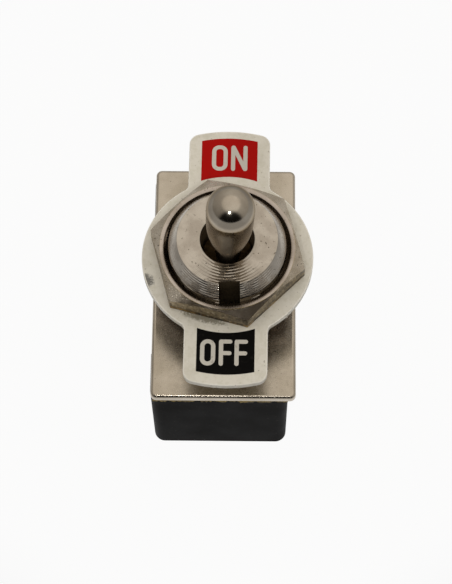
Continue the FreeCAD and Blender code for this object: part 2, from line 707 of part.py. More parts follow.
def make_load_terminal():
    outer, inner = f"-{LUG} - strip_thick / 2", f"-{LUG} + strip_thick / 2"
    near_side, far_side = f"-{RISER} + strip_thick / 2", f"-{RISER} - strip_thick / 2"
    under = f"({SHELF_TOP} - strip_thick)"
    body = make_terminal("load_terminal", "-", f"-{LOAD_RIVET}", [
        (outer, LUG_END), (inner, LUG_END), (inner, FLOOR), (near_side, FLOOR), (near_side, under),
        (f"-{SHELF_END}", under), (f"-{SHELF_END}", SHELF_TOP), (far_side, SHELF_TOP), (far_side, STRIP_TOP),
        (outer, STRIP_TOP),
    ])
    hole = sketch_on(body, "contact_hole", "XY_Plane", f"{SHELF_TOP} - 2 * strip_thick")
    circle(hole, "0", CONTACT_Y, "fixed_shank")
    pocket(body, hole, "3 * strip_thick", reverse=True)


def make_rivet(name, y):
    body = new_body(name)
    place(body, BASE_X, y)
    profile = sketch_on(body, name + "_profile", "XZ_Plane")
    outline(profile, [
        ("0", f"{BASE_BOTTOM} - head_thick"), ("head_radius * 0.7", f"{BASE_BOTTOM} - head_thick"),
        ("head_radius", BASE_BOTTOM), ("shank_radius", BASE_BOTTOM), ("shank_radius", STRIP_TOP),
        ("head_radius", STRIP_TOP), ("head_radius * 0.7", f"{STRIP_TOP} + head_thick"),
        ("0", f"{STRIP_TOP} + head_thick"),
    ])
    turned(body, profile)


def make_fixed_contact():
    body = new_body("fixed_contact")
    place(body, BASE_X, CONTACT_Y, SHELF_TOP)
    profile = sketch_on(body, "fixed_profile", "XZ_Plane")
    outline(profile, [
        ("0", "-strip_thick"), ("fixed_shank", "-strip_thick"), ("fixed_shank", "0"), ("fixed_radius", "0"),
        ("fixed_radius", "fixed_height"), ("0", "fixed_height"),
    ])
    turned(body, profile)


# The rocker's pieces are made about its axis and then set at the OFF tilt.
def set_on_rocker(piece, x="0"):
    place(piece, f"{BASE_X} + {x}", "0", ROCKER_Z, (1, 0, 0), "-rocker_tilt")


def arm_box(name, side, x, length, z):
    """A box along one arm of the shallow V, from the rocker's axis outwards."""
    arm = primitive("Box", name, Length=f"({x[1]}) - ({x[0]})", Width=length, Height=f"({z[1]}) - ({z[0]})")
    rise = value("arm_rise")
    turn = Rotation(Vector(1, 0, 0), side * rise)
    start = Vector(value(x[0]), 0 if side > 0 else -value(length), value(z[0]))
    arm.Placement = Placement(turn.multVec(start), turn)
    return arm


def make_rocker_blade():
    across = ("-blade_width / 2", "blade_width / 2")
    arms = [arm_box(f"blade_arm_{n}", side, across, ARM_LENGTH, ("0", "blade_thick"))
            for n, side in enumerate((1, -1), 1)]
    bar = primitive("Cylinder", "rib_bar", Radius="rib_radius", Height="blade_width")
    place(bar, "-blade_width / 2", "0", "0", (0, 1, 0), "90")
    lower = box("rib_lower_half", ("-blade_width", "blade_width"), ("-2 * rib_radius", "2 * rib_radius"),
                ("-2 * rib_radius", "blade_thick / 2"))
    set_on_rocker(node(joined("blade", arms + [shared("rib", [bar, lower])]), "rocker_blade"))


def make_rocker_saddle():
    across = ("-blade_width / 2", "blade_width / 2")
    between = ("-blade_width / 2 + cheek_thick", "blade_width / 2 - cheek_thick")
    top = f"({TROUGH} + cheek_height)"
    blocks = [arm_box(f"saddle_block_{n}", side, across, "saddle_length", ("blade_thick", top))
              for n, side in enumerate((1, -1), 1)]
    channels = [arm_box(f"saddle_channel_{n}", side, between, "saddle_length + 1", (TROUGH, f"{top} + 1"))
                for n, side in enumerate((1, -1), 1)]
    under = [arm_box(f"saddle_under_{n}", side, ("-blade_width", "blade_width"), "saddle_length + 1",
                     ("-1", "blade_thick")) for n, side in enumerate((1, -1), 1)]
    saddle = cut("saddle_cut", joined("saddle_blocks", blocks), joined("saddle_room", channels + under))
    set_on_rocker(node(saddle, "rocker_saddle"))


def make_moving_contact():
    body = new_body("moving_contact")
    turn = Rotation(Vector(1, 0, 0), -value("arm_rise") - value("rocker_tilt"))
    seat = turn.multVec(Vector(0, -value(CONTACT_PLACE), 0))
    body.Placement = Placement(Vector(value(BASE_X), 0, value(ROCKER_Z)) + seat, turn)
    profile = sketch_on(body, "button_profile", "XZ_Plane")
    outline(profile, [
        ("0", "0"), ("button_radius", "0"), ("button_radius", "-button_height + button_bevel"),
        ("button_face", "-button_height"), ("0", "-button_height"),
    ])
    turned(body, profile)


make_steel_frame()
make_threaded_bushing()
make_lever_pin()
make_nut("lower_nut", LOWER_NUT_BOTTOM, "lower_nut_thick", "lower_nut_turn", countersunk=False)
make_lock_washer()
make_legend_plate()
make_nut("top_nut", "legend_top", "nut_thick", "top_nut_turn", countersunk=True)
make_toggle_lever()
make_plunger()
make_plunger_spring()
make_insulator_sheet()
make_base_housing()
make_common_terminal()
make_load_terminal()
make_rivet("common_rivet", COMMON_RIVET)
make_rivet("load_rivet", f"-{LOAD_RIVET}")
make_fixed_contact()
make_rocker_blade()
make_rocker_saddle()
make_moving_contact()

doc.recompute()
for thing in doc.Objects:
    if "Invalid" in thing.State or "Error" in thing.State:
        raise RuntimeError(f"{thing.Label} did not build: {thing.State}")
for thing in NODES:
    if thing.Shape.isNull() or not thing.Shape.isValid() or not thing.Shape.Solids:
        raise RuntimeError(f"{thing.Label} has no valid solid")

os.makedirs("parts", exist_ok=True)
for thing in NODES:
    thing.Shape.exportStep(f"parts/{thing.Label}.step")
    print(f"{thing.Label}: {len(thing.Shape.Solids)} solid, {thing.Shape.Volume:.2f} mm3")
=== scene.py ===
# %% [markdown]
# # A toggle switch, seen from above
#
# This lesson dresses a small on-off switch: a nickel-plated lever in a threaded bushing, two hexagon
# nuts, an enamelled legend plate, a steel frame and a black moulded base.
#
# The CAD model is loaded as a fixed frame. Its pieces keep their places. Some keep their own mesh and
# only get a finish, and others are built again here, finer than the CAD has them.

import random
from math import atan2, cos, hypot, pi, radians, sin, sqrt, tan

import bpy
from mathutils import Matrix, Vector


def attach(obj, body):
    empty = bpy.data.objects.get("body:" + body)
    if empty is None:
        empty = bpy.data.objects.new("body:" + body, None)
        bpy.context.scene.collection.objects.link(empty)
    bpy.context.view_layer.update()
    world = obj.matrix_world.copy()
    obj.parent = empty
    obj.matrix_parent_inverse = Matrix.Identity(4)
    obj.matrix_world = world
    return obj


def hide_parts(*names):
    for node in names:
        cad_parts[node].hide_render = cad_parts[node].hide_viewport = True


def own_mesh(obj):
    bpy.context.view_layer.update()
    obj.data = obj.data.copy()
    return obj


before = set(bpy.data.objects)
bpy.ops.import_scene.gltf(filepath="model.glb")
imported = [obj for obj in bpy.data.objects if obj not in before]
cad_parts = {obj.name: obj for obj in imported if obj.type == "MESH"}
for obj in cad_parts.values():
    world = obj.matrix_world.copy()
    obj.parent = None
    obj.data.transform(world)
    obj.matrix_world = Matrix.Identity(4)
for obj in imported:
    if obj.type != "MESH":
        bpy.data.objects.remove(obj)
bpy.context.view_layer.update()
MM = 0.001

# %% [markdown]
# ## Colour and nodes
#
# A colour picked from a picture is an sRGB value, but Blender's shaders work in linear light, so one
# function turns the one into the other. Another adds a node with its settings and links and hands back
# the output that the next node needs. With it a material reads as a short list, from the pattern to
# the surface. The settings of a smooth ramp and of a mix of two colours come back often, so they have
# names. Pattern sizes are written in millimetres.

# %% Colour and node helpers
SMOOTH = {"interpolation_type": "SMOOTHSTEP"}
RGBA = {"out": 2, "data_type": "RGBA"}


def linear(hex_colour):
    """An sRGB hex colour as linear red, green, blue and alpha."""
    parts = [int(hex_colour[i:i + 2], 16) / 255 for i in (1, 3, 5)]
    return [c / 12.92 if c <= 0.04045 else ((c + 0.055) / 1.055) ** 2.4 for c in parts] + [1.0]


def add(tree, kind, inputs=None, out=0, **settings):
    """Adds a node and gives back one of its outputs. An input is a value or another node's output."""
    made = tree.nodes.new("ShaderNode" + kind)
    for name, setting in settings.items():
        setattr(made, name, setting)
    for name, source in (inputs or {}).items():
        if isinstance(source, bpy.types.NodeSocket):
            tree.links.new(source, made.inputs[name])
        else:
            made.inputs[name].default_value = source
    return made.outputs[out] if made.outputs else made


def new_material(name):
    """A material with an empty node tree."""
    material = bpy.data.materials.new(name)
    material.use_nodes = True
    material.node_tree.nodes.clear()
    return material, material.node_tree


def per_metre(size_mm):
    """The scale at which a pattern's patches are about that many millimetres across."""
    return 1 / (size_mm * MM)


print("a mid grey is", round(linear("#808080")[0], 3), "in linear light")

# %% [markdown]
# ## Meshes in millimetres
#
# Most parts of a switch are turned on a lathe or stamped from sheet. So two helpers do nearly all of
# the shaping: one spins a profile round the Z axis, and one gives an outline a thickness. Both take
# millimetres, as on a drawing, and hand Blender metres. Edges sharper than an angle stay crisp, and the
# rest is shaded smooth.

# %% Mesh helpers
CORNER_SIGNS = [(-1, -1), (1, -1), (1, 1), (-1, 1)]


def piece(name, points, faces, material, body="switch_body", crease=35, instead_of=(), finish=None):
    """A mesh from millimetre points, with its material, riding on a body of the CAD. The finish argument is
    not used.
    """
    mesh = bpy.data.meshes.new(name)
    mesh.from_pydata([[c * MM for c in p] for p in points], [], faces)
    mesh.validate()
    mesh.materials.append(material)
    mesh.shade_smooth()
    mesh.set_sharp_from_angle(angle=radians(crease))
    thing = bpy.data.objects.new(name, mesh)
    bpy.context.collection.objects.link(thing)
    if body:
        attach(thing, body)
    if instead_of:
        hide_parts(*instead_of)
    return thing


def lathe(profile, steps=144, shape=None):
    """Spins (radius, height) points round Z. shape may change the radius and height at each angle."""
    points, faces, rings = [], [], []
    for radius, height in profile:
        if radius < 1e-6 and shape is None:
            rings.append([len(points)] * steps)
            points.append((0, 0, height))
            continue
        rings.append(list(range(len(points), len(points) + steps)))
        for step in range(steps):
            angle = 2 * pi * step / steps
            r, z = shape(radius, height, angle) if shape else (radius, height)
            points.append((r * cos(angle), r * sin(angle), z))
    for low, high in zip(rings, rings[1:]):
        for step in range(steps):
            after = (step + 1) % steps
            corners = [low[step], low[after], high[after], high[step]]
            face = [c for i, c in enumerate(corners) if c not in corners[:i]]
            if len(face) > 2:
                faces.append(face)
    return points, faces


def arc(x, y, radius, start, end, steps=12):
    """Points along an arc, from one angle to another in degrees."""
    turns = [radians(start + (end - start) * i / steps) for i in range(steps + 1)]
    return [(x + radius * cos(t), y + radius * sin(t)) for t in turns]


def slab(outline, low, high):
    """An outline with a thickness, from one height to another."""
    count = len(outline)
    points = [(x, y, low) for x, y in outline] + [(x, y, high) for x, y in outline]
    sides = [[i, (i + 1) % count, count + (i + 1) % count, count + i] for i in range(count)]
    return points, sides + [list(range(count))[::-1], list(range(count, 2 * count))]


def soften(thing, width_mm, steps=2, angle=30, worn=None):
    """Rounds every corner sharper than the angle. The rounding may show a worn material of its own."""
    bevel = thing.modifiers.new("soft_edges", "BEVEL")
    bevel.width, bevel.segments = width_mm * MM, steps
    bevel.limit_method, bevel.angle_limit = "ANGLE", radians(angle)
    if worn:
        thing.data.materials.append(worn)
        bevel.material = len(thing.data.materials) - 1


def carve(thing, *tools):
    """Cuts other meshes out of a piece for good. The cut faces take the tool's material."""
    for tool in tools:
        cut = thing.modifiers.new("cut", "BOOLEAN")
        cut.object, cut.operation, cut.solver, cut.material_mode = tool, "DIFFERENCE", "EXACT", "TRANSFER"
    bpy.context.view_layer.update()
    carved = bpy.data.meshes.new_from_object(thing.evaluated_get(bpy.context.evaluated_depsgraph_get()))
    thing.modifiers.clear()
    thing.data = carved
    for tool in tools:
        bpy.data.objects.remove(tool)
    thing.data.set_sharp_from_angle(angle=radians(35))


print("mesh helpers ready: a lathe, a slab, a bevel and a cutter")

# %% [markdown]
# ## The camera
#
# The photograph was taken with a long lens, looking down on the panel side of the switch at about 67
# degrees. The lens, the distance and the small roll were found by fitting known circles of the switch
# to the picture.

# %% Camera
CAMERA_ELEVATION = 66.964
CAMERA_AZIMUTH = 1.462
CAMERA_ROLL = 0.890
CAMERA_DISTANCE = 198.785
AIM = Vector((-0.175, -1.240, 0.0))
LENS = 117.37

tilt, swing, roll = radians(CAMERA_ELEVATION), radians(CAMERA_AZIMUTH), radians(CAMERA_ROLL)
back = Vector((sin(swing) * cos(tilt), -cos(swing) * cos(tilt), sin(tilt)))
right = Vector((0, 0, 1)).cross(back).normalized()
up = back.cross(right)
lens_right, lens_up = cos(roll) * right - sin(roll) * up, cos(roll) * up + sin(roll) * right

camera = bpy.data.objects.new("camera", bpy.data.cameras.new("camera"))
bpy.context.collection.objects.link(camera)
turn = Matrix((lens_right, lens_up, back)).transposed().to_4x4()
camera.matrix_world = Matrix.Translation((AIM + CAMERA_DISTANCE * back) * MM) @ turn
camera.data.lens = LENS
camera.data.clip_start = 0.005
bpy.context.scene.camera = camera
print("camera at", [round(c / MM, 1) for c in camera.matrix_world.translation], "mm")

# %% [markdown]
# ## Floor, light and surroundings
#
# Polished metal shows what stands round it, so the surroundings matter more here than the lamps. The ball
# tip of the real lever is a small mirror, and shows the room: a pale ceiling overhead, dimmer walls,
# brightest at the back, and a dark patch low at the front. The room below is built from those three. One
# large soft lamp lights the enamel and the floor, and metal doesn't show it. A tiny one by the lens gives
# the bright spot on the ball. The floor is pale grey paper, and the camera and the mirrors both see the
# same painted pool of light on it: white round the switch and pale grey further off, centred a little
# behind the switch.

# %% Floor, lamps and world
LAMP_AIM = Vector((0, 0, 5))


def lamp(name, size_mm, power, place_mm, in_metal=True):
    """A round area lamp that points at the switch, and may be left out of reflections."""
    data = bpy.data.lights.new(name, "AREA")
    data.shape, data.size, data.energy = "DISK", size_mm * MM, power
    holder = bpy.data.objects.new(name, data)
    bpy.context.collection.objects.link(holder)
    aim_way = LAMP_AIM - Vector(place_mm)
    holder.rotation_mode = "QUATERNION"
    holder.rotation_quaternion = aim_way.to_track_quat("-Z", "Y")
    holder.location = Vector(place_mm) * MM
    holder.visible_glossy = in_metal


FLOOR_HEIGHT = -21.87
FLOOR_HALF = 20000
WHITE_SHARE, FAR_SHARE = 0.95, 0.48
POOL_INNER, POOL_OUTER, POOL_BACK = 46, 96, 14

floor_with_painted_light_pool, tree = new_material("paper_with_painted_light_pool")
offset = add(tree, "VectorMath", {0: add(tree, "TexCoord", out="Object"), 1: (0, POOL_BACK * MM, 0)},
             operation="SUBTRACT")
away = add(tree, "VectorMath", {0: offset}, out="Value", operation="LENGTH")
# Painted pool of light: the white that the camera and the mirrors see is full near the switch and fades
# further off.
painted_light_pool = add(tree, "MapRange", {0: away, 1: POOL_INNER * MM, 2: POOL_OUTER * MM,
                              3: 1.0, 4: FAR_SHARE}, **SMOOTH)
direct = 0.0
for kind_of_ray in ("Is Camera Ray", "Is Glossy Ray", "Is Transmission Ray"):
    this_kind = add(tree, "LightPath", out=kind_of_ray)
    direct = add(tree, "Math", {0: this_kind, 1: direct}, operation="MAXIMUM")
seen = add(tree, "Math", {0: direct, 1: WHITE_SHARE}, operation="MULTIPLY")
paper = add(tree, "BsdfPrincipled", {"Base Color": linear("#aeaeab"), "Roughness": 0.9})
white = add(tree, "Emission", {"Color": (1, 1, 1, 1), "Strength": painted_light_pool})
add(tree, "OutputMaterial", {"Surface": add(tree, "MixShader", {0: seen, 1: paper, 2: white})})
corners = [(x * FLOOR_HALF, y * FLOOR_HALF, FLOOR_HEIGHT) for x, y in CORNER_SIGNS]
piece("floor", corners, [[0, 1, 2, 3]], floor_with_painted_light_pool, body=None)

WALL, CEILING, DARK = 0.38, 0.35, 0.03
WALL_SLOPE = (0.08, 0.18, 0.21)
CEILING_WAY = (0.05, cos(radians(87)), sin(radians(87)))
CEILING_OUTER, CEILING_INNER = 50, 32
DARK_WAY = (0.0, -cos(radians(8)), sin(radians(8)))
DARK_OUTER, DARK_INNER = 58, 38

world = bpy.data.worlds.new("pale_room")
bpy.context.scene.world = world
world.use_nodes = True
tree = world.node_tree
tree.nodes.clear()
way = add(tree, "TexCoord", out="Generated")
near_ceiling = add(tree, "VectorMath", {0: way, 1: CEILING_WAY}, out="Value", operation="DOT_PRODUCT")
ceiling = add(tree, "MapRange", {0: near_ceiling, 1: cos(radians(CEILING_OUTER)),
                                 2: cos(radians(CEILING_INNER)), 3: 0.0, 4: CEILING}, **SMOOTH)
slope = add(tree, "VectorMath", {0: way, 1: WALL_SLOPE}, out="Value", operation="DOT_PRODUCT")
walls = add(tree, "Math", {0: slope, 1: WALL}, operation="ADD")
room = add(tree, "Math", {0: walls, 1: ceiling}, operation="ADD")
near_dark = add(tree, "VectorMath", {0: way, 1: DARK_WAY}, out="Value", operation="DOT_PRODUCT")
dark = add(tree, "MapRange", {0: near_dark, 1: cos(radians(DARK_OUTER)), 2: cos(radians(DARK_INNER)),
                              3: 1.0, 4: DARK}, **SMOOTH)
room = add(tree, "Math", {0: room, 1: dark}, operation="MULTIPLY")
background = add(tree, "Background", {"Color": linear("#fff9f0"), "Strength": room})
add(tree, "OutputWorld", {"Surface": background})

lamp("soft_box", 500, 0.60, (-20, -120, 570), in_metal=False)
lamp("lens_lamp", 11, 0.035, (-14, -118, 163))
bpy.context.scene.view_settings.view_transform = "Standard"
print("floor at", FLOOR_HEIGHT, "mm, walls at", WALL, "and ceiling at", round(WALL + CEILING, 2))

# %% [markdown]
# ## Nickel plate
#
# The frame, bushing, nuts and lever are all nickel plated, over steel or brass. Old nickel is a warm
# grey, a little yellow, and its gloss comes from the metal underneath: satin on the rolled sheet,
# ringed where it was turned, bright on the polished lever. One recipe serves all of them, and each
# gets its own roughness and marks: slow stains, fine scratches, and small brown pits where the plating
# has failed. Real pits are a few hundredths of a millimetre wide, and are drawn larger so as to show.
# The side that faces the front may also be painted darker, as shade, and made duller.

# %% Nickel finishes
PIT_MM = 0.22
# The second brown is painted shade, for the side that faces the front.
PIT_BROWN, FRONT_SHADE_BROWN = "#3a2d20", "#3e362c"


def nickel(name, bright, dull, gloss, scratch_mm, pits, stain_mm=3.0, streak=(1, 1, 1), depth_mm=0.003,
           extra_relief=None, front_shade=0.0):
    """Nickel plate between two greys, with stains, scratches and pits, and painted shade on the side that
    faces the front.
    """
    material, tree = new_material(name)
    where = add(tree, "TexCoord", out="Object")
    cloud = add(tree, "TexNoise", {"Vector": where, "Scale": per_metre(stain_mm), "Detail": 4.0}, out="Fac")
    stain = add(tree, "MapRange", {0: cloud, 1: 0.36, 2: 0.66}, **SMOOTH)
    along = add(tree, "VectorMath", {0: where, 1: streak}, operation="MULTIPLY")
    scratch = add(tree, "TexNoise", {"Vector": along, "Scale": per_metre(scratch_mm), "Detail": 2.0},
                  out="Fac")
    grain = add(tree, "TexNoise", {"Vector": where, "Scale": per_metre(PIT_MM), "Detail": 1.0}, out="Fac")
    pit = add(tree, "MapRange", {0: grain, 1: 0.70, 2: 0.76, 4: pits}, **SMOOTH)
    colour = add(tree, "Mix", {0: stain, 6: linear(bright), 7: linear(dull)}, **RGBA)
    colour = add(tree, "Mix", {0: pit, 6: colour, 7: linear(PIT_BROWN)}, **RGBA)
    # Painted shade: the side that faces the front is darkened and made duller.
    if front_shade:
        flat = add(tree, "VectorMath", {0: where, 1: (1, 1, 0)}, operation="MULTIPLY")
        heading = add(tree, "VectorMath", {0: flat}, operation="NORMALIZE")
        forward = add(tree, "VectorMath", {0: heading, 1: (0.1, -1, 0)}, out="Value",
                      operation="DOT_PRODUCT")
        ragged = add(tree, "Math", {0: cloud, 1: 0.5, 2: forward}, operation="MULTIPLY_ADD")
        darkened = add(tree, "MapRange", {0: ragged, 1: 0.85, 2: 1.15, 4: front_shade}, **SMOOTH)
        colour = add(tree, "Mix", {0: darkened, 6: colour, 7: linear(FRONT_SHADE_BROWN)}, **RGBA)
        gloss = add(tree, "Math", {0: darkened, 1: 0.08, 2: gloss}, operation="MULTIPLY_ADD")
    spread = add(tree, "MapRange", {0: scratch, 1: 0.3, 2: 0.7, 3: -0.03, 4: 0.04})
    rough = add(tree, "Math", {0: spread, 1: gloss}, operation="ADD")
    rough = add(tree, "Math", {0: pit, 1: 0.3, 2: rough}, operation="MULTIPLY_ADD")
    height = add(tree, "Math", {0: pit, 1: -2.0, 2: scratch}, operation="MULTIPLY_ADD")
    normal = add(tree, "Bump", {"Height": height, "Distance": depth_mm * MM})
    if extra_relief:
        normal = extra_relief(tree, where, normal)
    surface = add(tree, "BsdfPrincipled", {"Base Color": colour, "Metallic": 1.0, "Roughness": rough,
                                           "Normal": normal})
    add(tree, "OutputMaterial", {"Surface": surface})
    return material


sheet_nickel = nickel("nickel_plated_sheet_steel", "#bab0a1", "#aba191", gloss=0.26, scratch_mm=0.5,
                      pits=0.35, depth_mm=0.0002)
nut_nickel = nickel("nickel_plated_brass_land", "#b8aea5", "#a1968b", gloss=0.26, scratch_mm=0.3, pits=0.6)
# The cone's front side takes the painted shade.
nut_cone = nickel("nickel_plated_scratched_cone", "#c9c0b2", "#afa493", gloss=0.25, scratch_mm=0.2,
                  pits=0.7, stain_mm=1.6, streak=(1, 4, 1), depth_mm=0.035, front_shade=0.9)
print("nickel finishes, with pits", PIT_MM, "mm wide")

# %% [markdown]
# ## Polished nickel of the lever
#
# The lever is the one polished piece, so its tip mirrors the room. Fingers keep the tip clean. A stripe
# down the middle of the shaft is a painted reflection, with colour and gloss of its own, and it is finely
# scratched, so it is duller below the tip. A film of old oil on the rest of the shaft takes a little of its
# gloss. So colour and gloss go by the height on the lever and the distance from that stripe, and a slow
# noise makes the border uneven. Seen at a flat angle the plating mirrors less than a new one does, which
# the tint says.

# %% Lever finish
CLEAN_ABOVE, OILY_BELOW = 28.0, 22.5
STRIPE_INNER, STRIPE_OUTER = 0.2, 1.1
MATT_BELOW, POLISHED_ABOVE = 25.0, 27.0
GRAZING_TINT = "#a89f93"

lever_nickel, tree = new_material("polished_nickel_plate")
where = add(tree, "TexCoord", out="Object")
cloud = add(tree, "TexNoise", {"Vector": where, "Scale": per_metre(2.0), "Detail": 4.0}, out="Fac")
height = add(tree, "SeparateXYZ", {0: where}, out="Z")
level = add(tree, "Math", {0: cloud, 1: 1.5 * MM, 2: height}, operation="MULTIPLY_ADD")
clean_tip_and_streak = add(tree, "MapRange", {0: level, 1: OILY_BELOW * MM, 2: CLEAN_ABOVE * MM}, **SMOOTH)
sideways = add(tree, "Math", {0: add(tree, "SeparateXYZ", {0: where}, out="X")}, operation="ABSOLUTE")
# Painted reflection: a stripe down the middle of the shaft.
painted_streak = add(tree, "MapRange", {0: sideways, 1: STRIPE_INNER * MM, 2: STRIPE_OUTER * MM,
                                 3: 0.8, 4: 0.0}, **SMOOTH)
clean_tip_and_streak = add(tree, "Math", {0: clean_tip_and_streak, 1: painted_streak}, operation="MAXIMUM")
below_tip = add(tree, "MapRange", {0: height, 1: MATT_BELOW * MM, 2: POLISHED_ABOVE * MM, 3: 1.0, 4: 0.0})
matt = add(tree, "Math", {0: painted_streak, 1: below_tip}, operation="MULTIPLY")
polish = add(tree, "MapRange", {0: cloud, 1: 0.36, 2: 0.66}, **SMOOTH)
metal = add(tree, "Mix", {0: polish, 6: linear("#b9b0a2"), 7: linear("#a89e90")}, **RGBA)
colour = add(tree, "Mix", {0: clean_tip_and_streak, 6: linear("#c0b5a5"), 7: metal}, **RGBA)
rough = add(tree, "MapRange", {0: clean_tip_and_streak, 1: 0.0, 2: 1.0, 3: 0.20, 4: 0.15})
rough = add(tree, "Math", {0: matt, 1: 0.26, 2: rough}, operation="MULTIPLY_ADD")
fine = add(tree, "TexNoise", {"Vector": where, "Scale": per_metre(0.25), "Detail": 2.0}, out="Fac")
normal = add(tree, "Bump", {"Height": fine, "Distance": 0.001 * MM})
surface = add(tree, "BsdfPrincipled", {"Base Color": colour, "Metallic": 1.0, "Roughness": rough,
                                       "Specular Tint": linear(GRAZING_TINT), "Normal": normal})
add(tree, "OutputMaterial", {"Surface": surface})
print("lever finish, clean above", CLEAN_ABOVE, "mm")

# %% [markdown]
# ## Worn edges
#
# Plating wears first where fingers and spanners touch it. On the nut's corners the brass comes through in
# yellow patches, and the enamel of the legend has worn to grey metal along its stamped edge. Where that
# edge is sound, its enamel is painted lighter than the face, as a highlight along the rim. Each is a
# material of its own, which the rounded edge takes when the bevel is made, so the wear follows the edge
# exactly. A noise leaves some stretches sound.

# %% Worn edges
def worn_edge(name, sound, bare_and_glint, patch_mm, share, metal):
    """An edge that is sound in some stretches and worn through in others. With metal 0 only those shine."""
    material, tree = new_material(name)
    where = add(tree, "TexCoord", out="Object")
    patches = add(tree, "TexNoise", {"Vector": where, "Scale": per_metre(patch_mm), "Detail": 5.0},
                  out="Fac")
    worn = add(tree, "MapRange", {0: patches, 1: 1.02 - share, 2: 1.12 - share}, **SMOOTH)
    colour = add(tree, "Mix", {0: worn, 6: linear(sound), 7: linear(bare_and_glint)}, **RGBA)
    normal = add(tree, "Bump", {"Height": patches, "Distance": 0.01 * MM})
    shine = worn if metal == 0.0 else metal
    surface = add(tree, "BsdfPrincipled", {"Base Color": colour, "Metallic": shine, "Roughness": 0.2,
                                           "Normal": normal})
    add(tree, "OutputMaterial", {"Surface": surface})
    return material


brassy_edge = worn_edge("nickel_worn_to_brass", "#a89c86", "#94803e", patch_mm=1.2, share=0.60, metal=1.0)
# The legend edge's sound colour is lighter than the enamel face: a painted highlight along the rim.
chipped_edge_with_painted_highlight = worn_edge("enamel_edge_painted_highlight_and_wear", "#e9e5da", "#a39f95", patch_mm=0.8, share=0.35, metal=0.0)
print("two worn edges")

# %% [markdown]
# ## Turned nickel
#
# The bushing's face was cut by a lathe tool that moved in about a third of a millimetre each turn, and
# the plating kept the rings. A sine wave of the distance from the axis draws them. Along the front they
# run deep, and elsewhere they are polished nearly away, so the depth follows the angle, and a noise
# breaks it up.

# %% Turned finish for the bushing
FEED_MM, RING_DEPTH_MM = 0.31, 0.024


def tool_rings(tree, where, normal):
    """Rings one tool feed apart, deep towards the front and faint elsewhere."""
    flat = add(tree, "VectorMath", {0: where, 1: (1, 1, 0)}, operation="MULTIPLY")
    across = add(tree, "VectorMath", {0: flat}, out="Value", operation="LENGTH")
    heading = add(tree, "VectorMath", {0: flat}, operation="NORMALIZE")
    forward = add(tree, "VectorMath", {0: heading, 1: (0, -1, 0)}, out="Value", operation="DOT_PRODUCT")
    deep = add(tree, "MapRange", {0: forward, 1: 0.45, 2: 0.95, 3: 0.12, 4: 1.0}, **SMOOTH)
    cloud = add(tree, "TexNoise", {"Vector": where, "Scale": per_metre(1.1), "Detail": 2.0}, out="Fac")
    patchy = add(tree, "MapRange", {0: cloud, 1: 0.35, 2: 0.6, 3: 0.35, 4: 1.0}, **SMOOTH)
    height = add(tree, "SeparateXYZ", {0: where}, out="Z")
    along = add(tree, "Math", {0: height, 1: -0.75, 2: across}, operation="MULTIPLY_ADD")
    wander = add(tree, "Math", {0: cloud, 1: 0.1 * MM, 2: along}, operation="MULTIPLY_ADD")
    wave = add(tree, "Math", {0: wander, 1: 2 * pi / (FEED_MM * MM)}, operation="MULTIPLY")
    rings = add(tree, "Math", {0: wave}, operation="SINE")
    depth = add(tree, "Math", {0: deep, 1: patchy}, operation="MULTIPLY")
    relief = add(tree, "Math", {0: rings, 1: depth}, operation="MULTIPLY")
    return add(tree, "Bump", {"Height": relief, "Distance": RING_DEPTH_MM * MM, "Normal": normal})


bushing_nickel = nickel("nickel_plated_turned_brass", "#b8b0a4", "#a49b8f", gloss=0.2, scratch_mm=0.3,
                        pits=0.8, stain_mm=1.6, extra_relief=tool_rings)

# Dark brown for the keyway's walls, the bore and the thread's roots.
dark_recess_brass, tree = new_material("dark_brass_of_recesses")
where = add(tree, "TexCoord", out="Object")
cloud = add(tree, "TexNoise", {"Vector": where, "Scale": per_metre(0.8), "Detail": 3.0}, out="Fac")
colour = add(tree, "Mix", {0: cloud, 6: linear("#74654d"), 7: linear("#2c2419")}, **RGBA)
rough = add(tree, "MapRange", {0: cloud, 1: 0.3, 2: 0.7, 3: 0.35, 4: 0.6})
normal = add(tree, "Bump", {"Height": cloud, "Distance": 0.02 * MM})
surface = add(tree, "BsdfPrincipled", {"Base Color": colour, "Metallic": 0.6, "Roughness": rough,
                                       "Normal": normal})
add(tree, "OutputMaterial", {"Surface": surface})
print("rings every", FEED_MM, "mm")

# %% [markdown]
# ## Bushing
#
# The bushing is a turned tube with an M12 x 1 thread, so its crests stand 1 mm apart. A lathe profile is
# spun round the axis, and where the thread runs, the radius also depends on the angle: one turn moves the
# crest up by one pitch. The keyway is milled down the front afterwards, as on a real one, and its walls,
# the bore and the thread's roots are dark brown.

# %% Threaded bushing
THREAD_RADIUS, THREAD_PITCH, THREAD_DEPTH = 5.93, 1.0, 0.58
THREAD_START, THREAD_END, BUSHING_TOP = 0.5, 9.14, 10.68
FACE_RADIUS, MOUTH_RADIUS, MOUTH_BOTTOM, BORE_WIDE = 5.05, 2.69, 4.8, 3.9
SPIGOT_RADIUS, SPIGOT_TOP, STAKED_TOP, STAKED_LOW = 4.6, 0.0, -0.9, -1.32
KEY_HALF, KEY_ROOT, KEY_START, KEY_END, KEY_TURN = 1.05, 4.63, 1.0, 12.0, 2.9
PIVOT_HEIGHT, PIN_RADIUS = 6.3, 0.8


def thread(radius, height, angle):
    """Sinks the profile into a helical groove, which fades out at both ends of the thread."""
    if radius < THREAD_RADIUS - 0.001 or not THREAD_START <= height <= THREAD_END:
        return radius, height
    turn_part = (height / THREAD_PITCH - angle / (2 * pi)) % 1.0
    groove = min(1.0, max(0.0, 1.25 - 2.5 * abs(turn_part - 0.5)))
    fade = min(1.0, (height - THREAD_START) / 0.6, (THREAD_END - height) / 0.5)
    return radius - THREAD_DEPTH * groove * max(0.0, fade), height


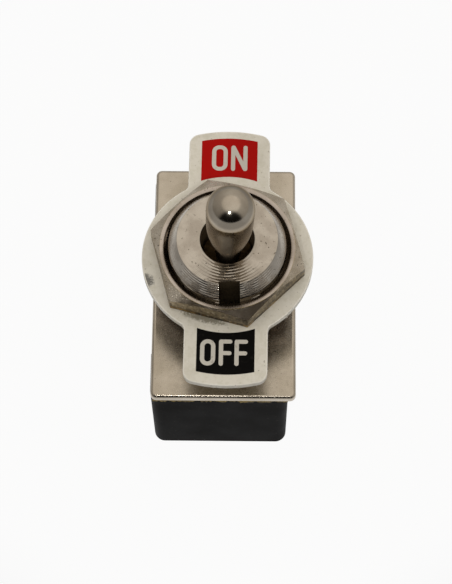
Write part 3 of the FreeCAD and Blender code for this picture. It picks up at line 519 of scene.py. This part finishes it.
def turned_about_z(points, degrees):
    """Points turned about the bushing's axis. Their third number, if any, stays."""
    c, s = cos(radians(degrees)), sin(radians(degrees))
    return [(x * c - y * s, x * s + y * c, *rest) for x, y, *rest in points]


def cross_rod(radius):
    """A rod along X, for the holes that the cross pin goes through."""
    points, faces = lathe([(0, -8), (radius, -8), (radius, 8), (0, 8)], 32)
    return [(z, x, y) for x, y, z in points], faces


thread_rings = [(THREAD_RADIUS, 0.2 + (THREAD_END - 0.2) * i / 89) for i in range(90)]
bushing_profile = (
    [(BORE_WIDE, STAKED_LOW), (SPIGOT_RADIUS + 0.45, STAKED_LOW), (SPIGOT_RADIUS + 0.6, STAKED_LOW + 0.17),
     (SPIGOT_RADIUS + 0.6, STAKED_TOP), (SPIGOT_RADIUS, STAKED_TOP), (SPIGOT_RADIUS, SPIGOT_TOP),
     (THREAD_RADIUS - 0.15, SPIGOT_TOP), (THREAD_RADIUS, SPIGOT_TOP + 0.15)]
    + thread_rings
    + [(THREAD_RADIUS - 0.03, 9.2), (5.5, 9.9), (FACE_RADIUS + 0.05, BUSHING_TOP - 0.07),
       (FACE_RADIUS, BUSHING_TOP - 0.01), (FACE_RADIUS - 0.08, BUSHING_TOP), (4.2, BUSHING_TOP),
       (3.4, BUSHING_TOP), (MOUTH_RADIUS + 0.16, BUSHING_TOP), (MOUTH_RADIUS + 0.05, BUSHING_TOP - 0.05),
       (MOUTH_RADIUS, BUSHING_TOP - 0.18), (MOUTH_RADIUS, MOUTH_BOTTOM), (BORE_WIDE, MOUTH_BOTTOM),
       (BORE_WIDE, STAKED_LOW)]
)
bushing = piece("bushing_with_thread", *lathe(bushing_profile, 160, thread), bushing_nickel,
                instead_of=["threaded_bushing"], finish="nickel_bushing")
bushing.data.materials.append(dark_recess_brass)
for face in bushing.data.polygons:
    reach = hypot(face.center.x, face.center.y) / MM
    in_thread = face.center.z / MM < THREAD_END - 0.1 and SPIGOT_RADIUS < reach < THREAD_RADIUS - 0.1
    if reach < MOUTH_RADIUS + 0.01 or in_thread:
        face.material_index = 1
key_shape = [(-KEY_HALF, -8), (KEY_HALF, -8), (KEY_HALF, -KEY_ROOT), (-KEY_HALF, -KEY_ROOT)]
key_slab = slab(turned_about_z(key_shape, KEY_TURN), KEY_START, KEY_END)
key = piece("key_cutter", *key_slab, dark_recess_brass, body=None)
rod_points, rod_faces = cross_rod(PIN_RADIUS)
lifted = [(x, y, z + PIVOT_HEIGHT) for x, y, z in rod_points]
pin_hole = piece("pin_cutter", lifted, rod_faces, dark_recess_brass, body=None)
carve(bushing, key, pin_hole)
soften(bushing, 0.05, 2, 60)
print("bushing:", len(bushing.data.polygons), "faces")

# %% [markdown]
# ## Hexagon nuts
#
# A nut starts as hexagon bar. The lathe turns a cone over its corners, which leaves a curved edge on
# each flat, and opens the bore with a countersink. So the nut is also spun round its axis here: the
# outer radius at each angle is the hexagon's, and the top of each side drops where the cone cuts it.
# The land round the bore stays bright, the cone is scratched by spanners, and the flanks are nicked. Some
# nicks hold dirt, and pale specks among them are painted glints. The flanks are darker towards their foot,
# next to the legend, where the brass shows.

# %% Hexagon nuts
NUT_FLATS, NUT_CONE, NUT_BORE, NUT_MOUTH = 14.0, 6.83, 5.98, 6.36
NUT_BOTTOM, NUT_HEIGHT, NUT_TURN = 6.30, 2.47, 45
UNDER_BOTTOM, UNDER_HEIGHT, UNDER_TURN = 2.6, 2.2, 20
DARK_FOOT_MM, NICK_MM = 0.75, 0.25

nut_flank, tree = new_material("milled_nut_flank_with_painted_glints")
where = add(tree, "TexCoord", out="Object")
cloud = add(tree, "TexNoise", {"Vector": where, "Scale": per_metre(1.2), "Detail": 5.0, "Roughness": 0.7},
            out="Fac")
patchy = add(tree, "MapRange", {0: cloud, 1: 0.4, 2: 0.65}, **SMOOTH)
olive = add(tree, "Mix", {0: patchy, 6: linear("#97876b"), 7: linear("#524534")}, **RGBA)
brass = add(tree, "Mix", {0: patchy, 6: linear("#2a2012"), 7: linear("#a5833f")}, **RGBA)
height = add(tree, "SeparateXYZ", {0: where}, out="Z")
level = add(tree, "Math", {0: cloud, 1: 0.5 * MM, 2: height}, operation="MULTIPLY_ADD")
# The flanks turn darker towards the foot, next to the legend.
dark_foot_top = NUT_BOTTOM + DARK_FOOT_MM
darkened = add(tree, "MapRange", {0: level, 1: dark_foot_top * MM, 2: (dark_foot_top + 0.25) * MM,
                                3: 1.0, 4: 0.0}, **SMOOTH)
colour = add(tree, "Mix", {0: darkened, 6: olive, 7: brass}, **RGBA)
upright = add(tree, "VectorMath", {0: where, 1: (1, 1, 0.6)}, operation="MULTIPLY")
nicks = add(tree, "TexNoise", {"Vector": upright, "Scale": per_metre(NICK_MM), "Detail": 3.0}, out="Fac")
filled = add(tree, "MapRange", {0: nicks, 1: 0.46, 2: 0.34, 4: 0.5}, **SMOOTH)
colour = add(tree, "Mix", {0: filled, 6: colour, 7: linear("#241e16")}, **RGBA)
# Painted glints: pale specks on the flanks.
bare_and_glint = add(tree, "MapRange", {0: nicks, 1: 0.58, 2: 0.68, 4: 0.45}, **SMOOTH)
colour = add(tree, "Mix", {0: bare_and_glint, 6: colour, 7: linear("#ddd2b4")}, **RGBA)
normal = add(tree, "Bump", {"Height": cloud, "Distance": 0.03 * MM})
surface = add(tree, "BsdfPrincipled", {"Base Color": colour, "Metallic": 1.0, "Roughness": 0.36,
                                       "Normal": normal})
add(tree, "OutputMaterial", {"Surface": surface})


def nut(name, bottom, height, turn_deg, instead_of, flank):
    """A hexagon nut with a chamfered top and a countersunk bore."""
    top = bottom + height

    def hexagon(radius, z, angle):
        if radius <= NUT_CONE:
            return radius, z
        sector = (angle - radians(turn_deg)) % (pi / 3) - pi / 6
        reach = NUT_FLATS / 2 / cos(sector) + (radius - NUT_FLATS / 2)
        drop = max(0.0, reach - NUT_CONE) * tan(radians(30))
        return reach, min(z, top - drop) if z > bottom + height / 2 else z

    side = NUT_FLATS / 2
    profile = [(NUT_BORE, bottom + 0.35), (6.3, bottom), (6.9, bottom), (side - 0.12, bottom),
               (side, bottom + 0.12), (side, bottom + height * 0.4), (side, top),
               (NUT_CONE + 0.05, top - 0.03), (NUT_CONE, top), (NUT_MOUTH + 0.3, top),
               (NUT_MOUTH + 0.16, top - 0.02), (NUT_MOUTH + 0.06, top - 0.07), (NUT_MOUTH, top - 0.15),
               (NUT_BORE, top - 0.62), (NUT_BORE, bottom + 0.35)]
    thing = piece(name, *lathe(profile, 216, hexagon), nut_nickel, crease=20, instead_of=[instead_of],
                  finish="nickel_bushing")
    thing.data.materials.append(flank)
    thing.data.materials.append(nut_cone)
    for face in thing.data.polygons:
        if hypot(face.center.x, face.center.y) > NUT_CONE * MM and face.normal.z > -0.5:
            face.material_index = 1 if face.normal.z < 0.3 else 2
    soften(thing, 0.08, 2, 24, worn=brassy_edge)


nut("top_hex_nut", NUT_BOTTOM, NUT_HEIGHT, NUT_TURN, "top_nut", nut_flank)
nut("under_hex_nut", UNDER_BOTTOM, UNDER_HEIGHT, UNDER_TURN, "lower_nut", nut_nickel)
print("nuts", NUT_FLATS, "mm across flats")

# %% [markdown]
# ## Lever
#
# The bat handle is turned from one rod: a round tip, a shaft that is straight below it and then narrows
# in one long curve to the neck, and a hub on the pin. The whole profile is worked out from the CAD's own
# sizes and spun in fine steps, so that its reflections bend without a break. It is then tipped to the
# OFF side like the CAD lever.

# %% Bat lever
LEAN, SIDE_LEAN = 13.0, 1.2
TIP_RADIUS, REACH, SHOULDER, NECK_RADIUS, NECK_TOP = 2.24, 22.0, 17.5, 1.2, 6.0
HUB_RADIUS, HUB_BAND, HUB_REACH = 2.55, 0.6, 2.0
TAIL_RADIUS, TAIL_END, BORE_RADIUS, BORE_END = 1.9, -10.0, 1.27, -3.25
PIN_CLEARANCE = 0.03


def set_on_lever(points):
    """Tips points from the lever's own axis to where the lever rests, a little to one side."""
    tip_over = Matrix.Rotation(radians(SIDE_LEAN), 3, "Y") @ Matrix.Rotation(radians(LEAN), 3, "X")
    return [tip_over @ Vector(p) + Vector((0, 0, PIVOT_HEIGHT)) for p in points]


rise, swell = SHOULDER - NECK_TOP, TIP_RADIUS - NECK_RADIUS
flank_radius = (rise ** 2 + swell ** 2) / (2 * swell)
flank = [(TIP_RADIUS - flank_radius + sqrt(flank_radius ** 2 - h ** 2), SHOULDER - h)
         for h in [rise * (1 - i / 30) for i in range(31)]]
tip = arc(0, REACH, TIP_RADIUS, 0, 87, 29) + [(0, REACH + TIP_RADIUS)]
lever_profile = (
    [(0, BORE_END), (BORE_RADIUS, BORE_END), (BORE_RADIUS, TAIL_END + 0.05), (BORE_RADIUS + 0.05, TAIL_END),
     (TAIL_RADIUS - 0.25, TAIL_END), (TAIL_RADIUS, TAIL_END + 0.25), (TAIL_RADIUS, -HUB_REACH),
     (HUB_RADIUS, -HUB_BAND), (HUB_RADIUS, HUB_BAND), (NECK_RADIUS + 0.12, HUB_REACH),
     (NECK_RADIUS, HUB_REACH + 0.2)]
    + flank + [(TIP_RADIUS, 18.9), (TIP_RADIUS, 20.4)] + tip
)
lever_points, lever_faces = lathe(lever_profile, 96)
lever = piece("bat_lever", set_on_lever(lever_points), lever_faces, lever_nickel, body="lever", crease=25,
              instead_of=["toggle_lever"], finish="nickel_lever")
rod_points, rod_faces = cross_rod(PIN_RADIUS + PIN_CLEARANCE)
cross = piece("cross_cutter", set_on_lever(rod_points), rod_faces, dark_recess_brass, body=None)
carve(lever, cross)
print("lever:", len(lever.data.polygons), "faces, shaft curve of radius", round(flank_radius, 1), "mm")

# %% [markdown]
# ## Enamelled legend plate
#
# The legend is a disc with a tab to each side, stamped from thin sheet and coated with off-white enamel.
# Enamel is glassy, so it has a soft gloss over a plain colour. Years of use gave it grey rubs, small chips
# and brown specks. Three marks on the real one are large enough to place one by one: a dark scuff on the
# disc's left edge, a brown stain right of the nut, and a dark band along the nut's front flat.

# %% Legend plate
LEGEND_LOW, LEGEND_TOP = 5.5, 6.3
DISC_RADIUS, TAB_HALF, END_RADIUS, END_SHIFT = 8.72, 4.2, 14.16, 0.17
TAB_CORNER, TAB_FILLET, HOLE_RADIUS = 1.15, 0.8, 6.1
LEGEND_TURN = -0.5
SCUFF_PLACE, SCUFF_REACH = (-8.3, -2.8, LEGEND_TOP), 1.9
STAIN_PLACE, STAIN_REACH = (6.35, 2.4, LEGEND_TOP), 0.9
# A dark band on the enamel along the nut's front flat.
NUT_BAND_PLACE, NUT_BAND_REACH, NUT_BAND_SQUEEZE, NUT_BAND_TURN = (-0.5, -7.1, LEGEND_TOP), 5.2, (1, 4.6, 1), 15


def tab_side(shift):
    """The right half of the upper tab, from the disc to the end arc's middle."""
    fillet_y = sqrt((DISC_RADIUS + TAB_FILLET) ** 2 - (TAB_HALF + TAB_FILLET) ** 2)
    corner_x = TAB_HALF - TAB_CORNER
    corner_y = shift + sqrt((END_RADIUS - TAB_CORNER) ** 2 - corner_x ** 2)
    lead = atan2(fillet_y, TAB_HALF + TAB_FILLET) * 180 / pi
    far = atan2(corner_y - shift, corner_x) * 180 / pi
    return (arc(0, 0, DISC_RADIUS, 0, lead, 40)[:-1]
            + arc(TAB_HALF + TAB_FILLET, fillet_y, TAB_FILLET, lead + 180, 180, 6)
            + arc(corner_x, corner_y, TAB_CORNER, 0, far, 8) + arc(0, shift, END_RADIUS, far, 90, 10)[1:])


upper, lower = tab_side(END_SHIFT), tab_side(-END_SHIFT)
legend_outline = (upper + [(-x, y) for x, y in upper[::-1]][1:]
                  + [(-x, -y) for x, y in lower][1:] + [(x, -y) for x, y in lower[::-1]][1:-1])

enamel, tree = new_material("off_white_stove_enamel")
where = add(tree, "TexCoord", out="Object")
cloud = add(tree, "TexNoise", {"Vector": where, "Scale": per_metre(2.6), "Detail": 5.0, "Roughness": 0.6},
            out="Fac")
rub = add(tree, "MapRange", {0: cloud, 1: 0.50, 2: 0.72, 4: 0.5}, **SMOOTH)
colour = add(tree, "Mix", {0: rub, 6: linear("#dbd6c9"), 7: linear("#c5bfb1")}, **RGBA)
mottle = add(tree, "TexNoise", {"Vector": where, "Scale": per_metre(0.6), "Detail": 4.0, "Roughness": 0.7},
             out="Fac")
mottled = add(tree, "MapRange", {0: mottle, 1: 0.42, 2: 0.66, 4: 0.45}, **SMOOTH)
colour = add(tree, "Mix", {0: mottled, 6: colour, 7: linear("#c5c0ac")}, **RGBA)
grain = add(tree, "TexNoise", {"Vector": where, "Scale": per_metre(0.33), "Detail": 2.0}, out="Fac")
speck = add(tree, "MapRange", {0: grain, 1: 0.69, 2: 0.73, 4: 0.6}, **SMOOTH)
colour = add(tree, "Mix", {0: speck, 6: colour, 7: linear("#6c5f4b")}, **RGBA)
ragged = add(tree, "TexNoise", {"Vector": where, "Scale": per_metre(0.22), "Detail": 5.0,
                                "Roughness": 0.75}, out="Fac")
turn = add(tree, "VectorRotate", {"Vector": where, "Angle": radians(NUT_BAND_TURN)}, rotation_type="Z_AXIS")
marks = [(where, SCUFF_PLACE, (1, 1, 1), SCUFF_REACH, "#55534f", 0.87),
         (where, STAIN_PLACE, (1, 1, 1), STAIN_REACH, "#8a6d3e", 0.85),
         (turn, NUT_BAND_PLACE, NUT_BAND_SQUEEZE, NUT_BAND_REACH, "#5f5842", 0.75)]
for spot, place, squeeze, reach, mark, solid in marks:
    offset = add(tree, "VectorMath", {0: spot, 1: [c * MM for c in place]}, operation="SUBTRACT")
    offset = add(tree, "VectorMath", {0: offset, 1: squeeze}, operation="MULTIPLY")
    away = add(tree, "VectorMath", {0: offset}, out="Value", operation="LENGTH")
    inside = add(tree, "MapRange", {0: away, 1: 0.0, 2: reach * MM, 3: 1.0, 4: 0.0}, **SMOOTH)
    broken = add(tree, "Math", {0: inside, 1: ragged}, operation="MULTIPLY")
    shown = add(tree, "MapRange", {0: broken, 1: 0.22, 2: 0.42, 4: solid}, **SMOOTH)
    colour = add(tree, "Mix", {0: shown, 6: colour, 7: linear(mark)}, **RGBA)
rough = add(tree, "MapRange", {0: grain, 1: 0.3, 2: 0.7, 3: 0.30, 4: 0.48})
normal = add(tree, "Bump", {"Height": cloud, "Distance": 0.05 * MM})
surface = add(tree, "BsdfPrincipled", {"Base Color": colour, "Roughness": rough, "Normal": normal})
add(tree, "OutputMaterial", {"Surface": surface})

legend_shape = slab(turned_about_z(legend_outline, LEGEND_TURN), LEGEND_LOW, LEGEND_TOP)
legend = piece("enamelled_legend", *legend_shape, enamel, instead_of=["legend_plate"],
               finish="legend_enamel")
hole_shape = lathe([(0, 4), (HOLE_RADIUS, 4), (HOLE_RADIUS, 8), (0, 8)], 96)
hole = piece("hole_cutter", *hole_shape, enamel, body=None)
carve(legend, hole)
soften(legend, 0.13, 3, 40, worn=chipped_edge_with_painted_highlight)
print("legend:", len(legend_outline), "outline points")

# %% [markdown]
# ## Printed fields and letters
#
# Screen-printed ink lies on the enamel as a film a few hundredths of a millimetre thick. Both fields
# follow the plate: their long sides are arcs about the bushing. The letters are printed white, with
# strokes of one width and round ends, so each stroke is drawn as a small pill shape. Small patches of
# each ink are worn.

# %% Print
INK_TOP = LEGEND_TOP + 0.012
LETTER_TOP = INK_TOP + 0.010
LAYER = 0.001
FIELD_HALF, FIELD_INNER, FIELD_OUTER, FIELD_SHIFT = 2.9, 8.69, 13.15, 0.33
STROKE, O_CORNER, O_INNER_CORNER = 0.43, 0.74, 0.32
ON_LOW, ON_HIGH, ON_O_SIDES, N_SIDES = 9.72, 12.66, (-1.82, -0.20), (0.16, 1.86)
OFF_LOW, OFF_HIGH, OFF_O_SIDES, F_LEFTS = -11.88, -9.08, (-2.53, -1.01), (-0.66, 0.90)
F_BAR, F_TOP_REACH, F_BAR_REACH = -10.53, 1.34, 1.27
half = STROKE / 2


def ink(name, solid_colour, worn_colour):
    """Screen ink: an even, dull film with worn specks."""
    material, tree = new_material(name)
    where = add(tree, "TexCoord", out="Object")
    grain = add(tree, "TexNoise", {"Vector": where, "Scale": per_metre(0.4), "Detail": 3.0}, out="Fac")
    worn = add(tree, "MapRange", {0: grain, 1: 0.60, 2: 0.74, 4: 0.55}, **SMOOTH)
    colour = add(tree, "Mix", {0: worn, 6: linear(solid_colour), 7: linear(worn_colour)}, **RGBA)
    rough = add(tree, "MapRange", {0: grain, 1: 0.3, 2: 0.7, 3: 0.42, 4: 0.55})
    surface = add(tree, "BsdfPrincipled", {
        "Base Color": colour, "Roughness": rough, "Specular IOR Level": 0.03,
        "Normal": add(tree, "Bump", {"Height": grain, "Distance": 0.003 * MM}),
    })
    add(tree, "OutputMaterial", {"Surface": surface})
    return material


red_ink = ink("red_screen_ink", "#a8100d", "#8d1c16")
black_ink = ink("black_screen_ink", "#0d0c0b", "#211e1b")
white_ink = ink("white_screen_ink", "#c6c1b6", "#8a8375")


def field(side):
    """A printed field: side 1 is the ON end, side -1 the OFF end."""
    near, far = [atan2(sqrt(r * r - FIELD_HALF ** 2), FIELD_HALF) * 180 / pi
                 for r in (FIELD_INNER, FIELD_OUTER)]
    inner = arc(0, 0, FIELD_INNER, 180 - near, near, 12)
    outer = arc(0, 0, FIELD_OUTER, far, 180 - far, 12)
    return [(x * side, y * side + FIELD_SHIFT) for x, y in inner + outer]


def stroke(x0, y0, x1, y1):
    """A straight pen stroke with round ends."""
    heading = atan2(y1 - y0, x1 - x0) * 180 / pi
    end = arc(x1, y1, half, heading - 90, heading + 90, 8)
    return end + arc(x0, y0, half, heading + 90, heading + 270, 8)


def letter_o(left, right, bottom, top):
    """A tall O: an outer and an inner rounded outline."""
    def ring(inset, corner):
        in_x = left + inset + corner, right - inset - corner
        in_y = bottom + inset + corner, top - inset - corner
        return (arc(in_x[1], in_y[0], corner, -90, 0, 8) + arc(in_x[1], in_y[1], corner, 0, 90, 8)
                + arc(in_x[0], in_y[1], corner, 90, 180, 8) + arc(in_x[0], in_y[0], corner, 180, 270, 8))
    return ring(0, O_CORNER), ring(STROKE, O_INNER_CORNER)


def print_flat(name, outlines, height, material, rings=()):
    """Printed shapes in one piece, each outline a hair above the last. A ring is two outlines."""
    points, faces = [], []
    for layer, outline in enumerate(outlines):
        faces.append(list(range(len(points), len(points) + len(outline))))
        points += [(x, y, height + layer * LAYER) for x, y in turned_about_z(outline, LEGEND_TURN)]
    for outer, inner in rings:
        start, count = len(points), len(outer)
        points += [(x, y, height) for x, y in turned_about_z(outer + inner, LEGEND_TURN)]
        faces += [[start + i, start + (i + 1) % count, start + count + (i + 1) % count, start + count + i]
                  for i in range(count)]
    piece(name, points, faces, material, finish="legend_enamel")


print_flat("red_field", [field(1)], INK_TOP, red_ink)
print_flat("black_field", [field(-1)], INK_TOP, black_ink)
n_left, n_right = N_SIDES[0] + half, N_SIDES[1] - half
print_flat("word_on", [
    stroke(n_left, ON_LOW + half, n_left, ON_HIGH - half),
    stroke(n_left + 0.04, ON_HIGH - half, n_right - 0.04, ON_LOW + half),
    stroke(n_right, ON_LOW + half, n_right, ON_HIGH - half),
], LETTER_TOP, white_ink, rings=[letter_o(*ON_O_SIDES, ON_LOW, ON_HIGH)])
print_flat("word_off", [
    stroke(left + half, OFF_LOW + half, left + half, OFF_HIGH - half) for left in F_LEFTS
] + [
    stroke(left + half, y, left + reach - half, y) for left in F_LEFTS
    for y, reach in ((OFF_HIGH - half, F_TOP_REACH), (F_BAR, F_BAR_REACH))
], LETTER_TOP, white_ink, rings=[letter_o(*OFF_O_SIDES, OFF_LOW, OFF_HIGH)])
print("printed: two fields and two words")

# %% [markdown]
# ## Steel frame
#
# The frame is stamped and bent from one sheet and plated in a barrel, so it is satin and a little
# blotchy. Its CAD shape is already right, with the rounded rim that catches the light, so the mesh
# stays and only takes the sheet finish.

# %% Frame finish
def dress(node, material):
    """Gives a CAD node's own mesh a finish."""
    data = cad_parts[node].data
    data.materials.clear()
    data.materials.append(material)


dress("steel_frame", sheet_nickel)
print("frame dressed")

# %% [markdown]
# ## Fibre sheet
#
# A sheet of tan vulcanised fibre keeps the frame away from the contacts. It was punched with a dull die, so
# its edge is torn: small teeth stand out all round, and their ends hang over the base. Below the sheet's
# underside they are painted dark, as shade. The outline is walked in steps of a fifth of a millimetre, and
# seeded random numbers move each point.

# %% Fibre sheet
SHEET_LEFT, SHEET_RIGHT, SHEET_LONG = -7.60, 6.32, 12.865
NOTCH_LEFT, NOTCH_RIGHT, NOTCH_LONG = -6.79, 5.25, 7.7
SHEET_TOP, SHEET_LOW = -0.9, -1.4
SHEET_HOLE, STEP, TOOTH = 5.4, 0.22, 0.06

fibre, tree = new_material("tan_vulcanised_fibre")
where = add(tree, "TexCoord", out="Object")
along = add(tree, "VectorMath", {0: where, 1: (1, 4, 1)}, operation="MULTIPLY")
strands = add(tree, "TexNoise", {"Vector": along, "Scale": per_metre(0.8), "Detail": 4.0, "Roughness": 0.6},
              out="Fac")
spread = add(tree, "MapRange", {0: strands, 1: 0.35, 2: 0.65}, **SMOOTH)
colour = add(tree, "Mix", {0: spread, 6: linear("#b39b5c"), 7: linear("#7d6a3f")}, **RGBA)
height = add(tree, "SeparateXYZ", {0: where}, out="Z")
# Painted shade: the teeth are dark below the sheet's underside.
painted_shade = add(tree, "MapRange", {0: height, 1: (SHEET_LOW - 0.01) * MM, 2: (SHEET_LOW - 0.07) * MM, 4: 0.95})
colour = add(tree, "Mix", {0: painted_shade, 6: colour, 7: linear("#17130e")}, **RGBA)
normal = add(tree, "Bump", {"Height": strands, "Distance": 0.05 * MM})
surface = add(tree, "BsdfPrincipled", {"Base Color": colour, "Roughness": 0.85, "Normal": normal})
add(tree, "OutputMaterial", {"Surface": surface})

teeth = random.Random(11)
sheet_points, walk = [], []
for (ax, ay), (bx, by) in zip(CORNER_SIGNS, CORNER_SIGNS[1:] + CORNER_SIGNS[:1]):
    start = Vector((SHEET_LEFT if ax < 0 else SHEET_RIGHT, ay * SHEET_LONG))
    end = Vector((SHEET_LEFT if bx < 0 else SHEET_RIGHT, by * SHEET_LONG))
    steps = int((end - start).length / STEP)
    walk += [(*start.lerp(end, i / steps), bx - ax, by - ay) for i in range(steps)]
for x, y, way_x, way_y in walk:
    if way_y and abs(y) < NOTCH_LONG:
        x = NOTCH_LEFT if x < 0 else NOTCH_RIGHT
    ragged = teeth.uniform(-TOOTH, TOOTH) + (teeth.random() < 0.22) * TOOTH
    x += (0 if way_x else 1 if x > 0 else -1) * ragged
    y += (0 if way_y else 1 if y > 0 else -1) * ragged
    hang = 0.05 + (teeth.random() < 0.6) * teeth.uniform(0.08, 0.30) if ragged > -0.02 else 0.0
    sheet_points += [(x, y, SHEET_TOP), (x, y, SHEET_LOW - hang)]
count = len(walk)
sheet_faces = [[2 * i, 2 * i + 1, 2 * ((i + 1) % count) + 1, 2 * ((i + 1) % count)] for i in range(count)]
sheet_faces += [[2 * i for i in range(count)], [2 * i + 1 for i in range(count)][::-1]]
fibre_sheet = piece("torn_fibre_sheet", sheet_points, sheet_faces, fibre, instead_of=["insulator_sheet"],
                    finish="tan_fibre")
centre_shape = lathe([(0, -4), (SHEET_HOLE, -4), (SHEET_HOLE, 2), (0, 2)], 64)
carve(fibre_sheet, piece("centre_cutter", *centre_shape, fibre, body=None))
print("fibre sheet:", count, "edge points")

# %% [markdown]
# ## Black moulded base
#
# The base is a thermoset moulding, pressed hot in a steel die. It is nearly black, with hardly any gloss
# left, a fine orange-peel skin and pale dust in it. The CAD mesh keeps its shape and takes this finish.

# %% Moulded base
phenolic, tree = new_material("black_phenolic_moulding")
where = add(tree, "TexCoord", out="Object")
cloud = add(tree, "TexNoise", {"Vector": where, "Scale": per_metre(4.0), "Detail": 4.0, "Roughness": 0.6},
            out="Fac")
bloom = add(tree, "MapRange", {0: cloud, 1: 0.4, 2: 0.75, 4: 0.4}, **SMOOTH)
colour = add(tree, "Mix", {0: bloom, 6: linear("#0e0d0d"), 7: linear("#191715")}, **RGBA)
grain = add(tree, "TexNoise", {"Vector": where, "Scale": per_metre(0.2), "Detail": 1.0}, out="Fac")
dust = add(tree, "MapRange", {0: grain, 1: 0.72, 2: 0.78, 4: 0.4}, **SMOOTH)
colour = add(tree, "Mix", {0: dust, 6: colour, 7: linear("#5c574e")}, **RGBA)
rough = add(tree, "MapRange", {0: cloud, 1: 0.3, 2: 0.7, 3: 0.36, 4: 0.5})
normal = add(tree, "Bump", {"Height": grain, "Distance": 0.002 * MM})
surface = add(tree, "BsdfPrincipled", {"Base Color": colour, "Roughness": rough, "Specular IOR Level": 0.01,
                                       "Normal": normal})
add(tree, "OutputMaterial", {"Surface": surface})
dress("base_housing", phenolic)
print("base dressed")

# %% [markdown]
# ## Small parts
#
# The lugs and rivets are brass strip dipped in tin, the blade is copper, the contacts are silver, and
# the plunger and saddle are pressed from amber insulating board. The springy parts are bright steel.
# The recipe for nickel makes these metals too, because they differ only in colour and gloss.

# %% Finishes of the small parts
tinned = nickel("hot_tinned_brass_strip", "#cfc6b2", "#b09f7c", gloss=0.36, scratch_mm=0.3, pits=0.5,
                stain_mm=1.5, streak=(1, 1, 0.3))
copper = nickel("rolled_copper_strip", "#d98a63", "#a8603f", gloss=0.30, scratch_mm=0.3, pits=0.4,
                stain_mm=1.2, streak=(0.3, 1, 1))
silver = nickel("turned_silver_contact", "#e3e0d9", "#bdb8ae", gloss=0.25, scratch_mm=0.2, pits=0.3,
                stain_mm=0.8)
spring_wire = nickel("bright_spring_steel", "#b7b6b3", "#8d8c8a", gloss=0.25, scratch_mm=0.2, pits=0.3,
                     stain_mm=0.8)

board, tree = new_material("amber_laminated_board")
where = add(tree, "TexCoord", out="Object")
along = add(tree, "VectorMath", {0: where, 1: (1, 1, 8)}, operation="MULTIPLY")
plies = add(tree, "TexNoise", {"Vector": along, "Scale": per_metre(0.8), "Detail": 3.0}, out="Fac")
spread = add(tree, "MapRange", {0: plies, 1: 0.35, 2: 0.65}, **SMOOTH)
colour = add(tree, "Mix", {0: spread, 6: linear("#8a4a1e"), 7: linear("#5e2f12")}, **RGBA)
normal = add(tree, "Bump", {"Height": plies, "Distance": 0.01 * MM})
surface = add(tree, "BsdfPrincipled", {"Base Color": colour, "Roughness": 0.4, "Normal": normal})
add(tree, "OutputMaterial", {"Surface": surface})

FINISHES = {
    tinned: ("common_terminal", "common_rivet", "load_terminal", "load_rivet"),
    silver: ("fixed_contact", "moving_contact"),
    board: ("plunger", "rocker_saddle"),
    spring_wire: ("lever_pin", "plunger_spring", "lock_washer"),
    copper: ("rocker_blade",),
}
for material, nodes in FINISHES.items():
    for node in nodes:
        dress(node, material)
print("small parts dressed:", sum(len(nodes) for nodes in FINISHES.values()))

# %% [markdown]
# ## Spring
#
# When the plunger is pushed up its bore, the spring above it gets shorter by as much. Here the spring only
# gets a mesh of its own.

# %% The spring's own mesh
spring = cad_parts["plunger_spring"]
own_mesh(spring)
